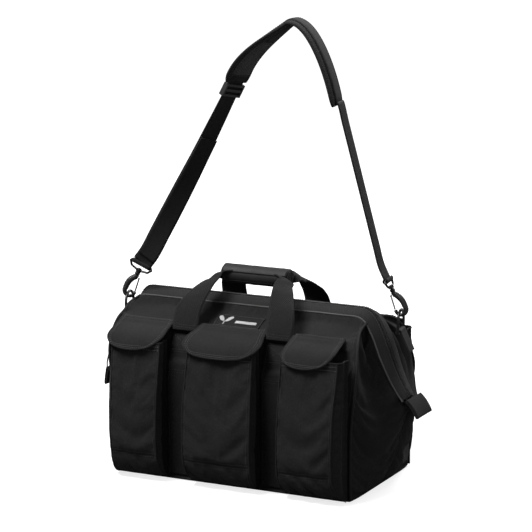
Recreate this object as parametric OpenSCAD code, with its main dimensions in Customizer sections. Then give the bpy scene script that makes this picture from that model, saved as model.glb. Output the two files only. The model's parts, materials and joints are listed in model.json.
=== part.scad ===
// Wide-mouth garden tool bag: fabric shell, two hinged mouth frames under a
// zipper, six flapped pockets, two carry handles and a padded shoulder strap.
// Units are millimetres. The origin is the middle of the base, on the floor.
// +X runs along the bag, the front faces -Y, +Z is up.

/* [Bag shell] */
// Length of the base, left to right
base_length = 457; // [450:1:460]
// Width of the base, front to back
base_width = 256; // [252:1:260]
// Height of the zipper along the ridge
ridge_height = 315; // [313:1:317]
// Thickness of a fabric wall
wall = 3; // [2.5:0.5:3]
// Height where the upright walls start to curve in
wall_height = 220; // [216:1:222]
// Height of the frame hinge pins above the floor
hinge_height = 152; // [150:1:154]
// Distance of the end tabs from the middle
tab_reach = 294; // [292:1:296]

/* [Mouth] */
// Half width of the zipper gap and slider blade slot
zip_gap = 0.6; // [0.5:0.1:0.8]
// Width of each row of zipper teeth
teeth_width = 2.8; // [2.6:0.1:3]
// Width of each rim tape, measured across the bag
rim_width = 31; // [29:1:32]
// Drop of the outer rim edge below the zipper
rim_drop = 13; // [12:1:14]
// Radius of the steel frame wire
wire_r = 2; // [1.8:0.1:2]
// Radius of the hinge pins
pin_r = 2; // [1.9:0.05:2.1]

/* [Pockets] */
// Height of the pocket mouths
pocket_height = 250; // [246:1:251]
// Depth of a pocket at its mouth
pocket_top_depth = 30; // [28:1:31]
// Depth of a pocket at its fullest
pocket_depth = 49; // [46:1:50]
// Width of the webbing strips and handle legs
strip_width = 50; // [48:1:50]
// Middle of the front left strip
front_strip_left = -97; // [-99:1:-95]
// Middle of the front right strip
front_strip_right = 85; // [83:1:87]
// Middle of the rear left strip
rear_strip_left = -109; // [-111:1:-107]
// Middle of the rear right strip
rear_strip_right = 58; // [57:1:60]

/* [Handles] */
// Height of the middle of the grip
grip_height = 352; // [350:1:354]
// Length of the grip
grip_length = 128; // [124:1:130]
// Radius of the grip
grip_r = 16; // [15:0.5:16]
// Sideways place of the grip's middle
grip_x = -11; // [-13:1:-9]

/* [Shoulder strap] */
// Width of the strap webbing
web_width = 38; // [36:1:38]
// Thickness of the strap webbing
web_t = 2.4; // [2:0.1:2.4]
// Width of the shoulder pad
pad_width = 62; // [58:1:64]
// Thickness of the shoulder pad
pad_t = 11; // [10:0.5:12]
// Distance of each D-ring from the middle
ring_reach = 252.5; // [251:0.5:254]
// Turn of the strap's plane, left ring forward and right ring back
strap_turn = 8; // [7:1:9]
// Height of the D-ring bars
bar_height = 271; // [270:1:273]
// Radius of the D-ring wire
dring_wire = 2.4; // [2.2:0.1:2.5]
// Lean of the hooks from upright
hook_lean = 25; // [24:1:26]

/* [Hidden] */
half_l = base_length / 2;
half_w = base_width / 2;
running = 0.06;

// Zipper line, seen from the front, from the left tab over the ridge to the right tab
ridge_end = 196;
ridge_left = 212;
straight_top = [-240, 272];
straight_low = [-288, 211];
zip_dir = (straight_top - straight_low) / norm(straight_top - straight_low);
zip_out = [-zip_dir[1], zip_dir[0]];

function bez(a, b, c, d, t) =
    a * pow(1 - t, 3) + b * 3 * t * pow(1 - t, 2) + c * 3 * t * t * (1 - t) + d * pow(t, 3);
function curve(a, b, c, d, n) = [for (i = [0 : n]) bez(a, b, c, d, i / n)];
function mix(a, b, t) = a * (1 - t) + b * t;

left_low = curve([-tab_reach + 2, hinge_height + 6], [-tab_reach, hinge_height + 30],
    straight_low - zip_dir * 12, straight_low, 3);
left_high = curve(straight_top, [-229, 282], [-229, ridge_height],
    [-ridge_left, ridge_height], 4);
right_end = curve([ridge_end, ridge_height], [240, 309], [240, 222],
    [tab_reach - 3, hinge_height + 5], 8);
zip_line = concat(left_low, left_high, right_end);
zip_last = len(zip_line) - 1;
teeth_first = 3;

// Direction along the zipper line and the normal that points into the bag
function along(i) =
    let (a = zip_line[max(i - 1, 0)], b = zip_line[min(i + 1, zip_last)])
    (b - a) / norm(b - a);
function inward(i) = [along(i)[1], -along(i)[0]];
function narrow(i) = mix(0.7, 1, min(1, (zip_line[i][1] - hinge_height) / 90));
// Point of the mouth: depth below the zipper line and distance from the middle
function mouth(i, depth, across) =
    let (p = zip_line[i] + inward(i) * depth) [p[0], across * narrow(i), p[1]];

// Profile of a long wall from its upright part up to the rim: [out from middle, height]
shoulder = [[half_w - 1, wall_height + 2], [half_w - 3, 240], [115, 260], [100, 275],
    [80, 287], [56, 296.5], [rim_width + 4, ridge_height - rim_drop - 1.5]];

// Profile of a flap from its seam, over the pocket mouth, to its free edge
flap_profile = [[100, 279], [118, 274.5], [138, 268], [156, 260], [167, 249], [172, 237]];
flap_spread = [0, 1, 6, 8, 6, -14];

// Handle leg: [out from middle, height], then the share of the way to the grip's end
leg_line = [[113, 270], [108, 300], [93, 325], [62, 343], [30, 351]];
leg_share = [0, 0.05, 0.25, 0.6, 0.9];
leg_width = [strip_width, strip_width, 44, 35, 27];
web_slot = [5.5, 26];

// Strap plane: [along, height] of the middle of the webbing, and its twist in degrees
dring_r = 19;
dring_mid = bar_height + dring_r;
hook_r = 9.5;
hook_wire = 3;
hook_eye = 43;
ring_bar = 57;
hook_foot = [ring_reach, dring_mid + dring_r];

function hook_point(side, up, out) =
    [side * (hook_foot[0] - up * sin(hook_lean) + out * cos(hook_lean)),
     hook_foot[1] + up * cos(hook_lean) + out * sin(hook_lean)];

left_start = hook_point(-1, ring_bar + 3.5, 0);
right_start = hook_point(1, ring_bar + 3.5, 0);
pad_left = [-49, 696];
pad_right = [134, 664];
left_web = concat([left_start], curve([-212, 384], [-160, 480], [-104, 588], [-62, 672], 6));
right_web = concat([right_start], curve([216, 388], [196, 462], [166, 575], [141, 668], 6));
pad_line = concat(curve(pad_left, [-34, 746], [18, 775], [52, 803], 5),
    curve([68, 805], [108, 800], [120, 722], pad_right, 5));

// Twist of the strap: 90 degrees lies across the bag, 0 faces the front
function web_twist(p) = p[0] > 60 ? 90 : p[0] > -50 ? mix(68, 90, (p[0] + 50) / 110)
    : p[0] > -120 ? mix(50, 68, (p[0] + 120) / 70) : mix(0, 50, max(0, (p[0] + 232) / 112));

// ---------- shared shapes ----------

// Round rod between two points
module rod(a, b, r) {
    d = b - a;
    translate(a)
        rotate([0, acos(d[2] / norm(d)), atan2(d[1], d[0])])
            cylinder(r = r, h = norm(d), $fn = 24);
}

// Chain of rods with rounded joints
module wire(points, r) {
    for (i = [0 : len(points) - 2])
        rod(points[i], points[i + 1], r);
    for (i = [1 : len(points) - 2])
        translate(points[i])
            sphere(r = r * 1.04, $fn = 24);
}

// Solid swept through cross-sections that all have the same number of corners
module swept(sections) {
    n = len(sections[0]);
    last = len(sections) - 1;
    sides = [for (i = [0 : last - 1], k = [0 : n - 1]) let (k2 = (k + 1) % n)
        for (f = [[i * n + k, i * n + k2, (i + 1) * n + k2],
            [i * n + k, (i + 1) * n + k2, (i + 1) * n + k]]) f];
    caps = [[for (k = [n - 1 : -1 : 0]) k], [for (k = [0 : n - 1]) last * n + k]];
    polyhedron(points = [for (s = sections, p = s) p], faces = concat(sides, caps));
}

// Rod with a ten-sided section, bent along a path that never runs front to back
module bent_rod(points, r) {
    last = len(points) - 1;
    swept([for (i = [0 : last])
        let (ahead = points[min(i + 1, last)] - points[max(i - 1, 0)],
            side = cross(ahead, [0, 1, 0]) / norm(cross(ahead, [0, 1, 0])),
            up = cross(side, ahead) / norm(ahead))
        [for (k = [0 : 9]) points[i] + r * (cos(36 * k) * side + sin(36 * k) * up)]]);
}

module dot(p, t) {
    translate(p)
        cube(t, center = true);
}

// Flat sheet of fabric spanned between a few corners
module sheet(corners, t) {
    hull()
        for (p = corners)
            dot(p, t);
}

// Outline of a bent sheet of even thickness, from its outer profile
function inner_side(line, t) = [for (i = [len(line) - 1 : -1 : 0])
    let (a = line[max(i - 1, 0)], b = line[min(i + 1, len(line) - 1)], d = (b - a) / norm(b - a))
    line[i] + t * [-d[1], d[0]]];
module bent_sheet(line, t, x0, x1) {
    translate([x0, 0, 0])
        rotate([90, 0, 90])
            linear_extrude(x1 - x0)
                polygon(concat(line, inner_side(line, t)));
}

// The same solid on the front (side -1) or the rear (side 1)
module facing(side) {
    if (side > 0)
        children();
    else
        mirror([0, 1, 0])
            children();
}

module strap_plane() {
    rotate([0, 0, strap_turn])
        children();
}

// ---------- shell ----------

module base_panel() {
    color("#151517")
        translate([-half_l, -half_w, 0])
            cube([base_length, base_width, wall]);
}

module base_board() {
    color("#2a2622")
        translate([-half_l + 10, -half_w + 10, wall + 0.2])
            cube([base_length - 20, base_width - 20, 3]);
}

module long_wall(side) {
    color("#1b1b1e")
        facing(side)
            translate([-half_l, half_w - wall, wall + 0.1])
                cube([base_length, wall, wall_height - wall - 0.1]);
}
module front_panel() { long_wall(-1); }
module rear_panel() { long_wall(1); }

corner_top = [half_l - 1, 112, 250];
tab_foot = [tab_reach - 4, 26, hinge_height - 12];
module end_wall(side) {
    x = half_l + 1.8;
    low_y = half_w - 2;
    color("#1b1b1e")
        scale_side(side) {
            sheet([[x, low_y, 1.6], [x, -low_y, 1.6], tab_foot, flip(tab_foot)], wall);
            for (s = [-1, 1])
                sheet([[x, s * low_y, 1.6], [x, s * low_y, wall_height - 20],
                    [corner_top[0] + 3, s * corner_top[1], corner_top[2]],
                    [tab_foot[0], s * tab_foot[1], tab_foot[2]]], wall);
        }
}
function flip(p) = [p[0], -p[1], p[2]];
module scale_side(side) {
    if (side > 0)
        children();
    else
        mirror([1, 0, 0])
            children();
}
module left_gusset() { end_wall(-1); }
module right_gusset() { end_wall(1); }

piping_r = 2;
module corner_piping() {
    color("#101012")
        for (sx = [-1, 1], sy = [-1, 1])
            wire([[sx * (half_l + 1), sy * (half_w + 2.3), 0],
                [sx * (half_l + 1), sy * (half_w + 2.3), wall_height + 1],
                [sx * half_l, sy * (half_w - 7), corner_top[2] - 9]], piping_r);
}

module end_tabs() {
    color("#17171a") {
        hull() {
            translate([tab_reach + 1, 0, hinge_height - 1])
                cube([4, 56, 3], center = true);
            translate([tab_reach + 18, 0, hinge_height - 21])
                cube([4, 60, 3], center = true);
        }
        hull() {
            translate([-tab_reach - 1.5, 0, hinge_height - 2])
                cube([4, 56, 3], center = true);
            translate([-tab_reach - 3, 0, hinge_height - 28])
                cube([4, 60, 3], center = true);
        }
    }
}

pin_in = 266;
pin_out = 281;
module hinge_pins() {
    color("#8d8f92")
        for (s = [-1, 1])
            translate([s * (pin_in + pin_out) / 2, 0, hinge_height])
                rotate([0, 90, 0]) {
                    cylinder(r = pin_r, h = pin_out - pin_in, center = true, $fn = 32);
                    for (e = [-1, 1])
                        translate([0, 0, e * (pin_out - pin_in) / 2])
                            cylinder(r = pin_r + 2, h = 1.6, center = true, $fn = 32);
                }
}

// ---------- mouth ----------

tape_start = 3.8;
tape_t = 2.6;
module rim_tape(side) {
    color("#222225")
        facing(side)
            swept([for (i = [0 : zip_last])
                let (start = tape_start / narrow(i))
                [mouth(i, -tape_t / 2, start), mouth(i, rim_drop - tape_t / 2, rim_width),
                mouth(i, rim_drop + tape_t / 2, rim_width),
                mouth(i, tape_t / 2, start)]]);
}
module front_rim_tape() { rim_tape(-1); }
module rear_rim_tape() { rim_tape(1); }

module zipper_half(side) {
    y_mid = side * (zip_gap + teeth_width / 2);
    color("#0e0e10")
        for (i = [teeth_first : zip_last - 1])
            hull()
                for (k = [i, i + 1])
                    translate([zip_line[k][0], y_mid, zip_line[k][1]])
                        cube([2.2, teeth_width, 2.2], center = true);
}
module front_zipper_half() { zipper_half(-1); }
module rear_zipper_half() { zipper_half(1); }

// The frame follows the rim from inside the bag, with an eye at each pin
eye_x = [269.5, 276.5];
wire_drop = 21;
wire_out = 26;
module frame_wire(side) {
    sx = side > 0 ? eye_x[1] : eye_x[0];
    run = [for (i = [2 : zip_last - 2])
        let (p = mouth(i, wire_drop, wire_out)) [p[0], side * p[1], p[2]]];
    foot = hinge_height + 9;
    color("#77797c") {
        bent_rod(concat([[-sx, 0, foot]], run, [[sx, 0, foot]]), wire_r);
        for (s = [-1, 1])
            translate([s * sx, 0, hinge_height])
                rotate([0, 90, 0])
                    difference() {
                        union() {
                            cylinder(r = 5, h = 3, center = true, $fn = 32);
                            translate([-7, 0, 0])
                                cube([6, 3.4, 3], center = true);
                        }
                        cylinder(r = pin_r + running, h = 5, center = true, $fn = 32);
                    }
    }
}
module front_frame_wire() { frame_wire(-1); }
module rear_frame_wire() { frame_wire(1); }

panel_left = 8 - half_l;
panel_right = half_l - 14;
module upper_panel(side) {
    color("#1d1d20")
        facing(side)
            bent_sheet(shoulder, 2.2, panel_left, panel_right);
}
module front_upper_panel() { upper_panel(-1); }
module rear_upper_panel() { upper_panel(1); }

// Fabric between each mouth slope and the upright corner, which folds as the mouth opens
module gusset_folds() {
    color("#1a1a1c")
        for (s = [-1, 1]) {
            end_fold(right_fold_edge(s), s, 1);
            end_fold(left_fold_edge(s), s, -1);
        }
}
fold_gap = 3.2;
function right_fold_edge(s) = [for (i = [zip_last - 6 : 2 : zip_last])
    mouth(i, rim_drop + fold_gap, s * (rim_width + 1.5))];
function left_fold_edge(s) = [for (i = [6, 5, 3, 1])
    mouth(i, rim_drop + fold_gap, s * (rim_width + 1.5))];
module end_fold(edge, s, side) {
    last = len(edge) - 1;
    for (i = [0 : last - 1])
        sheet([edge[i], edge[i + 1], fold_point(s, side, i / last),
            fold_point(s, side, (i + 1) / last)], 1.6);
}
function fold_point(s, side, t) =
    [side * mix(corner_top[0] - 1, tab_foot[0] - 9, t), s * mix(corner_top[1] - 7, tab_foot[1] + 1, t),
        mix(corner_top[2] + 8, tab_foot[2] + 12, t)];

label_w = 89;
module label_patch() {
    color("#0c0c0d")
        translate([-12, 0, 0])
            facing(-1)
                bent_sheet([[84, 288.2], [81, 289.4], [58, 298.6], [54, 299.6]], 1.2,
                    -label_w / 2, label_w / 2);
}

// ---------- pockets ----------

pocket_profile = [[half_w + 0.2, 5], [half_w + 34, 7], [half_w + pocket_depth - 4, 30],
    [half_w + pocket_depth, 75], [half_w + pocket_depth - 1, 130],
    [half_w + pocket_top_depth + 8, 205], [half_w + pocket_top_depth, pocket_height],
    [half_w + 0.2, pocket_height]];
pocket_t = 2.4;
piping_clear = 3.2;

// Plan of a pocket; a side that ends at a corner seam is drawn back to it
module pocket_plan(x0, x1, taper0, taper1, inset) {
    deep = half_w + pocket_depth + 5;
    front0 = taper0 ? x0 + 34 : x0;
    front1 = taper1 ? x1 - 34 : x1;
    mid0 = taper0 ? x0 + 3 : x0;
    mid1 = taper1 ? x1 - 3 : x1;
    polygon([[x0 + inset, half_w - 1], [mid0 + inset, half_w + 16 - inset],
        [front0 + inset, deep - 6 - (taper0 ? inset : -20)],
        [front1 - inset, deep - 6 - (taper1 ? inset : -20)],
        [mid1 - inset, half_w + 16 - inset], [x1 - inset, half_w - 1]]);
}
module pocket_block(x0, x1, taper0, taper1, inset) {
    intersection() {
        translate([0, 0, inset])
            linear_extrude(pocket_height + 20)
                pocket_plan(x0, x1, taper0, taper1, inset);
        translate([x0 - 1, -inset, 0])
            rotate([90, 0, 90])
                linear_extrude(x1 - x0 + 2)
                    pocket_side(inset);
    }
}
module pocket_side(inset) {
    if (inset > 0)
        polygon([for (i = [0 : len(pocket_profile) - 1])
            pocket_profile[i] + [i == 0 || i == 7 ? 2 * inset : 0, i < 2 ? inset : i > 5 ? 30 : 0]]);
    else
        polygon(pocket_profile);
}
module pocket(side, x0, x1, taper0, taper1) {
    color("#19191c")
        facing(side)
            difference() {
                pocket_block(x0, x1, taper0, taper1, 0);
                pocket_block(x0, x1, taper0, taper1, pocket_t);
            }
}
pocket_gap = 1.5;
function strip_x(side) = side < 0 ? [front_strip_left, front_strip_right]
    : [rear_strip_left, rear_strip_right];
function strip_edge(side, k, s) = strip_x(side)[k] + s * (strip_width / 2 + pocket_gap);
outer_edge = half_l - piping_clear;
module left_pocket(side) { pocket(side, -outer_edge, strip_edge(side, 0, -1), true, false); }
module middle_pocket(side) {
    pocket(side, strip_edge(side, 0, 1), strip_edge(side, 1, -1), false, false);
}
module right_pocket(side) { pocket(side, strip_edge(side, 1, 1), outer_edge, false, true); }
module front_left_pocket() { left_pocket(-1); }
module front_middle_pocket() { middle_pocket(-1); }
module front_right_pocket() { right_pocket(-1); }
module rear_left_pocket() { left_pocket(1); }
module rear_middle_pocket() { middle_pocket(1); }
module rear_right_pocket() { right_pocket(1); }

strip_t = 2;
module pocket_strips() {
    color("#202023")
        for (side = [-1, 1], x = strip_x(side))
            facing(side)
                translate([x - strip_width / 2, half_w + 0.2, 4])
                    cube([strip_width, strip_t, wall_height - 6]);
}

// Hook-and-loop patch below each pocket mouth, and its mate inside each flap
patch_w = 60;
patch_h = 22;
module pocket_loop_patches() {
    color("#0b0b0c")
        for (side = [-1, 1], k = [0 : 2])
            facing(side)
                translate([flap_middle(side, k), 0, 0])
                    patch_on_pocket();
}
module patch_on_pocket() {
    y = half_w + pocket_top_depth;
    hull() {
        translate([-patch_w / 2, y + 1.5, pocket_height - 6])
            cube([patch_w, 1.2, 1]);
        translate([-patch_w / 2, y + 5.6, pocket_height - 6 - patch_h])
            cube([patch_w, 1.2, 1]);
    }
}

// ---------- flaps ----------

function flap_ends(side, k) = k == 0 ? [-half_l + 3, strip_edge(side, 0, -1)]
    : k == 1 ? [strip_edge(side, 0, 1) + 1, strip_edge(side, 1, -1) - 1]
    : [strip_edge(side, 1, 1), half_l - 25];
function flap_middle(side, k) = (flap_ends(side, k)[0] + flap_ends(side, k)[1]) / 2;
module flap(side, k) {
    ends = flap_ends(side, k);
    last = len(flap_profile) - 1;
    color("#1e1e21")
        facing(side)
            for (i = [0 : last - 1])
                hull()
                    for (j = [i, i + 1])
                        flap_bar(ends, flap_profile[j], k == 1 ? flap_spread[j] : min(0, flap_spread[j]));
}
module flap_bar(ends, p, spread) {
    translate([ends[0] - spread, p[0] - 1, p[1]])
        cube([ends[1] - ends[0] + 2 * spread, 2, 2]);
}
module hook_patch(side, k) {
    color("#0b0b0c")
        facing(side)
            translate([flap_middle(side, k), 0, 0])
                hull() {
                    translate([-patch_w / 2, 163, 249.5])
                        cube([patch_w, 1, 1]);
                    translate([-patch_w / 2, 168.2, 238.5])
                        cube([patch_w, 1, 1]);
                }
}
module front_left_flap() { flap(-1, 0); }
module front_middle_flap() { flap(-1, 1); }
module front_right_flap() { flap(-1, 2); }
module rear_left_flap() { flap(1, 0); }
module rear_middle_flap() { flap(1, 1); }
module rear_right_flap() { flap(1, 2); }
module front_left_hook_patch() { hook_patch(-1, 0); }
module front_middle_hook_patch() { hook_patch(-1, 1); }
module front_right_hook_patch() { hook_patch(-1, 2); }
module rear_left_hook_patch() { hook_patch(1, 0); }
module rear_middle_hook_patch() { hook_patch(1, 1); }
module rear_right_hook_patch() { hook_patch(1, 2); }

// ---------- handles ----------

module handle_leg(x_foot, x_grip) {
    last = len(leg_line) - 1;
    for (i = [0 : last - 1])
        hull()
            for (j = [i, i + 1])
                translate([mix(x_foot, x_grip, leg_share[j]), leg_line[j][0], leg_line[j][1]])
                    cube([leg_width[j], 2.4, 2.4], center = true);
    hull() {
        translate([mix(x_foot, x_grip, leg_share[last]), leg_line[last][0], leg_line[last][1]])
            cube([leg_width[last], 2.4, 2.4], center = true);
        translate([x_grip, 8.5, grip_height])
            cube([2, 2.4, web_slot[1] - 4], center = true);
    }
}
module handle_webbing(side) {
    ends = [grip_x - grip_length / 2 - 3, grip_x + grip_length / 2 + 3];
    feet = strip_x(side);
    color("#1f1f22")
        facing(side) {
            handle_leg(feet[0], ends[0]);
            handle_leg(feet[1], ends[1]);
            translate([grip_x, 8.5, grip_height])
                cube([grip_length + 6, 2.4, web_slot[1] - 4], center = true);
        }
}
module grip_pad(side) {
    color("#17171a")
        facing(side)
            translate([grip_x, 0.6, grip_height])
                rotate([0, 90, 0])
                    difference() {
                        cylinder(r = grip_r, h = grip_length, center = true, $fn = 48);
                        translate([0, -grip_r, 0])
                            cube([3 * grip_r, 2 * grip_r, grip_length + 2], center = true);
                        translate([0, 7.9, 0])
                            cube([web_slot[1], 3.2, grip_length + 2], center = true);
                    }
}
module front_handle_webbing() { handle_webbing(-1); }
module rear_handle_webbing() { handle_webbing(1); }
module front_grip_pad() { grip_pad(-1); }
module rear_grip_pad() { grip_pad(1); }

// ---------- zipper slider and pull ----------

// Frame of the slider at its parked place: x along the zipper line, z outward
slider_place = straight_low + zip_dir * 4;
module on_slider() {
    translate([slider_place[0], 0, slider_place[1]])
        rotate([0, -atan2(zip_dir[1], zip_dir[0]), 0])
            children();
}
plate_gap = 5;
module zipper_slider() {
    color("#3a3b3d")
        on_slider()
            difference() {
                union() {
                    for (s = [-1, 1])
                        translate([0, 0, s * (plate_gap + 1.4) / 2])
                            cube([13, 9, 1.4], center = true);
                    translate([-4.5, 0, 0])
                        cube([4, 2 * zip_gap - 0.4, plate_gap + 1], center = true);
                    for (s = [-1, 1])
                        translate([-1, s * 3.2, plate_gap / 2 + 3])
                            cube([5, 1.6, 5], center = true);
                }
                translate([-1, 0, plate_gap / 2 + 3.8])
                    rotate([90, 0, 0])
                        cylinder(r = 0.9, h = 20, center = true, $fn = 24);
            }
}
pull_pivot = [slider_place[0] - zip_dir[0] + zip_out[0] * (plate_gap / 2 + 3.8),
    slider_place[1] - zip_dir[1] + zip_out[1] * (plate_gap / 2 + 3.8)];
pull_end = [pull_pivot[0] - 10, pull_pivot[1] - 20];
module pull_tab() {
    dir = (pull_end - pull_pivot) / norm(pull_end - pull_pivot);
    color("#3a3b3d")
        translate([pull_pivot[0], 0, pull_pivot[1]]) {
            rotate([90, 0, 0])
                cylinder(r = 0.9 - running, h = 8, center = true, $fn = 24);
            rotate([0, -atan2(dir[1], dir[0]), 0])
                difference() {
                    translate([11, 0, 0])
                        cube([22, 4, 1.6], center = true);
                    translate([19, 0, 0])
                        cylinder(r = 1.4, h = 4, center = true, $fn = 24);
                }
        }
}
cord_r = 1.1;
cord_top = [pull_end[0] + 1.4, pull_end[1] + 2.6];
module pull_cord() {
    x = cord_top[0] - 4.5;
    z = cord_top[1] - 3;
    color("#121214") {
        wire([[x - 3, -1.5, z - 40], [x - 3, -2, z - 4], [cord_top[0] - 3.8, 0, z + 8],
            [cord_top[0] + 3, 0, z - 1], [x + 4, 1, z - 14], [x - 1, 1.5, z - 40]], cord_r);
        translate([x - 2, 0, z - 43])
            sphere(r = 4.4, $fn = 24);
        rod([x - 2, 0, z - 44], [x - 3, -1, z - 60], cord_r);
    }
}

// ---------- D-rings ----------

chape_bore = dring_wire + 0.4;
chape_len = 32;
chape_lean = 25;
chape_tail = 46;
module dring(side) {
    color("#26272a")
        strap_plane()
            translate([side * ring_reach, 0, 0]) {
                translate([0, 0, dring_mid])
                    rotate([90, 0, 90])
                        rotate_extrude(angle = 180, $fn = 64)
                            translate([dring_r, 0])
                                circle(r = dring_wire, $fn = 24);
                for (s = [-1, 1]) {
                    rod([0, s * dring_r, bar_height], [0, s * dring_r, dring_mid], dring_wire);
                    translate([0, s * dring_r, bar_height])
                        sphere(r = dring_wire, $fn = 24);
                }
                rod([0, -dring_r, bar_height], [0, dring_r, bar_height], dring_wire);
            }
}
module left_dring() { dring(-1); }
module right_dring() { dring(1); }

module dring_chapes() {
    color("#1c1c1f")
        strap_plane()
            for (s = [-1, 1])
                scale_side(s)
                    translate([ring_reach, 0, bar_height])
                        rotate([90, 0, 0])
                            linear_extrude(height = chape_len, center = true)
                                difference() {
                                    union() {
                                        circle(r = chape_bore + web_t, $fn = 32);
                                        rotate(chape_lean)
                                            translate([chape_bore - 0.6, -chape_tail])
                                                square([web_t, chape_tail]);
                                    }
                                    circle(r = chape_bore, $fn = 32);
                                }
}

// ---------- shoulder strap ----------

module ribbon(line, width, t) {
    for (i = [0 : len(line) - 2])
        hull()
            for (j = [i, i + 1])
                ribbon_bar(line, j, width, t);
}
module ribbon_bar(line, j, width, t) {
    a = line[max(j - 1, 0)];
    b = line[min(j + 1, len(line) - 1)];
    lean = atan2(b[0] - a[0], b[1] - a[1]);
    translate([line[j][0], 0, line[j][1]])
        rotate([0, lean, 0])
            rotate([0, 0, web_twist(line[j])])
                cube([width, t, 0.4], center = true);
}
pad_core = 3.4;
module strap_webbing() {
    color("#1d1d20")
        strap_plane() {
            ribbon(concat(left_web, [pad_left]), web_width, web_t);
            ribbon(concat(right_web, [pad_right]), web_width, web_t);
            ribbon(pad_line, web_width, web_t);
        }
}
module shoulder_pad() {
    color("#18181b")
        strap_plane()
            difference() {
                ribbon(pad_line, pad_width, pad_t);
                ribbon(pad_line, web_width + 2, pad_core);
                for (j = [0, len(pad_line) - 1])
                    ribbon([pad_line[j], j == 0 ? pad_line[0] - [7, 22] : pad_line[j] + [5, -22]],
                        web_width + 2, pad_core);
            }
}

adjuster_at = mix([-104, 588], pad_left, 0.86);
adjuster_lean = atan2(pad_left[0] + 104, pad_left[1] - 588);
module strap_adjuster() {
    color("#2b2c2f")
        strap_plane()
            translate([adjuster_at[0], 0, adjuster_at[1]])
                rotate([0, adjuster_lean, 0])
                    rotate([0, 0, web_twist(adjuster_at)])
                        difference() {
                            cube([web_width + 10, 9, 24], center = true);
                            cube([web_width + 3, 6.6, 30], center = true);
                            for (s = [-1, 1])
                                translate([0, -4, s * 5])
                                    cube([web_width + 3, 6, 5], center = true);
                        }
}

// Ring, swivel and snap hook share one frame: z up the strap, x outward from the bag
module hook_frame(side) {
    strap_plane()
        scale_side(side)
            translate([hook_foot[0], 0, hook_foot[1]])
                rotate([0, -hook_lean, 0])
                    children();
}
ring_wire = 2;
eye_len = 5;
stud_r = 2.4;
module strap_ring(turn) {
    half = web_width / 2 + 2.5;
    rotate([0, 0, turn]) {
        wire([[4.2, 0, hook_eye], [half - 5, 0, hook_eye + 3], [half, 0, ring_bar - 4],
            [half - 3, 0, ring_bar], [-half + 3, 0, ring_bar], [-half, 0, ring_bar - 4],
            [-half + 5, 0, hook_eye + 3], [-4.2, 0, hook_eye]], ring_wire);
    }
}
module strap_rings() {
    color("#2b2c2f")
        for (s = [-1, 1])
            hook_frame(s)
                difference() {
                    union() {
                        strap_ring(s < 0 ? 0 : 90);
                        translate([0, 0, hook_eye])
                            cylinder(r = 5, h = eye_len, center = true, $fn = 32);
                    }
                    translate([0, 0, hook_eye])
                        cylinder(r = stud_r + running, h = eye_len + 4, center = true, $fn = 32);
                }
}

body_arc_r = 30;
body_rise = 8;
module snap_hook(side) {
    color("#1b1c1e")
        hook_frame(side) {
            rotate([90, 0, 0]) {
                rotate([0, 0, 180])
                    rotate_extrude(angle = 180, $fn = 64)
                        translate([hook_r, 0])
                            circle(r = hook_wire, $fn = 24);
                translate([hook_r - body_arc_r, body_rise, 0])
                    rotate_extrude(angle = 48, $fn = 96)
                        translate([body_arc_r, 0])
                            circle(r = hook_wire, $fn = 24);
            }
            rod([hook_r, 0, 0], [hook_r, 0, body_rise], hook_wire);
            rod([-hook_r, 0, 0], [-hook_r, 0, 3], hook_wire);
            translate([-1, 0, 32])
                sphere(r = 4.6, $fn = 32);
            translate([0, 0, 30])
                cylinder(r = 4.6, h = 9.6, $fn = 32);
            translate([0, 0, 38])
                cylinder(r = stud_r, h = 8.4, $fn = 32);
            translate([0, 0, hook_eye + eye_len / 2 + 0.3])
                cylinder(r = stud_r + 1, h = 1.4, $fn = 32);
        }
}
module left_hook() { snap_hook(-1); }
module right_hook() { snap_hook(1); }

gate_wire = 0.9;
gate_pivot = [-6.8, 29];
module hook_gate(side) {
    color("#b9bbbe")
        hook_frame(side) {
            wire([[gate_pivot[0], -1.7, gate_pivot[1]], [-hook_r, -1.7, 5.2],
                [-hook_r, 1.7, 5.2], [gate_pivot[0], 1.7, gate_pivot[1]]], gate_wire);
            rod([gate_pivot[0], -3, gate_pivot[1]], [gate_pivot[0], 3, gate_pivot[1]], gate_wire + 0.4);
        }
}
module left_hook_gate() { hook_gate(-1); }
module right_hook_gate() { hook_gate(1); }

base_panel();
base_board();
front_panel();
rear_panel();
left_gusset();
right_gusset();
corner_piping();
front_left_pocket();
front_middle_pocket();
front_right_pocket();
rear_left_pocket();
rear_middle_pocket();
rear_right_pocket();
pocket_strips();
pocket_loop_patches();
dring_chapes();
end_tabs();
hinge_pins();
front_rim_tape();
front_frame_wire();
front_zipper_half();
rear_rim_tape();
rear_frame_wire();
rear_zipper_half();
front_upper_panel();
rear_upper_panel();
gusset_folds();
label_patch();
front_handle_webbing();
front_grip_pad();
rear_handle_webbing();
rear_grip_pad();
front_left_flap();
front_middle_flap();
front_right_flap();
rear_left_flap();
rear_middle_flap();
rear_right_flap();
front_left_hook_patch();
front_middle_hook_patch();
front_right_hook_patch();
rear_left_hook_patch();
rear_middle_hook_patch();
rear_right_hook_patch();
zipper_slider();
pull_tab();
pull_cord();
left_dring();
right_dring();
strap_webbing();
shoulder_pad();
strap_rings();
strap_adjuster();
left_hook();
right_hook();
left_hook_gate();
right_hook_gate();
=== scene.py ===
"""Looks of the garden tool bag: cloth, webbing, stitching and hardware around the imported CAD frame.

Shapes are worked out in millimetres and become metres when a mesh is made.
"""
import json
import math

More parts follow.
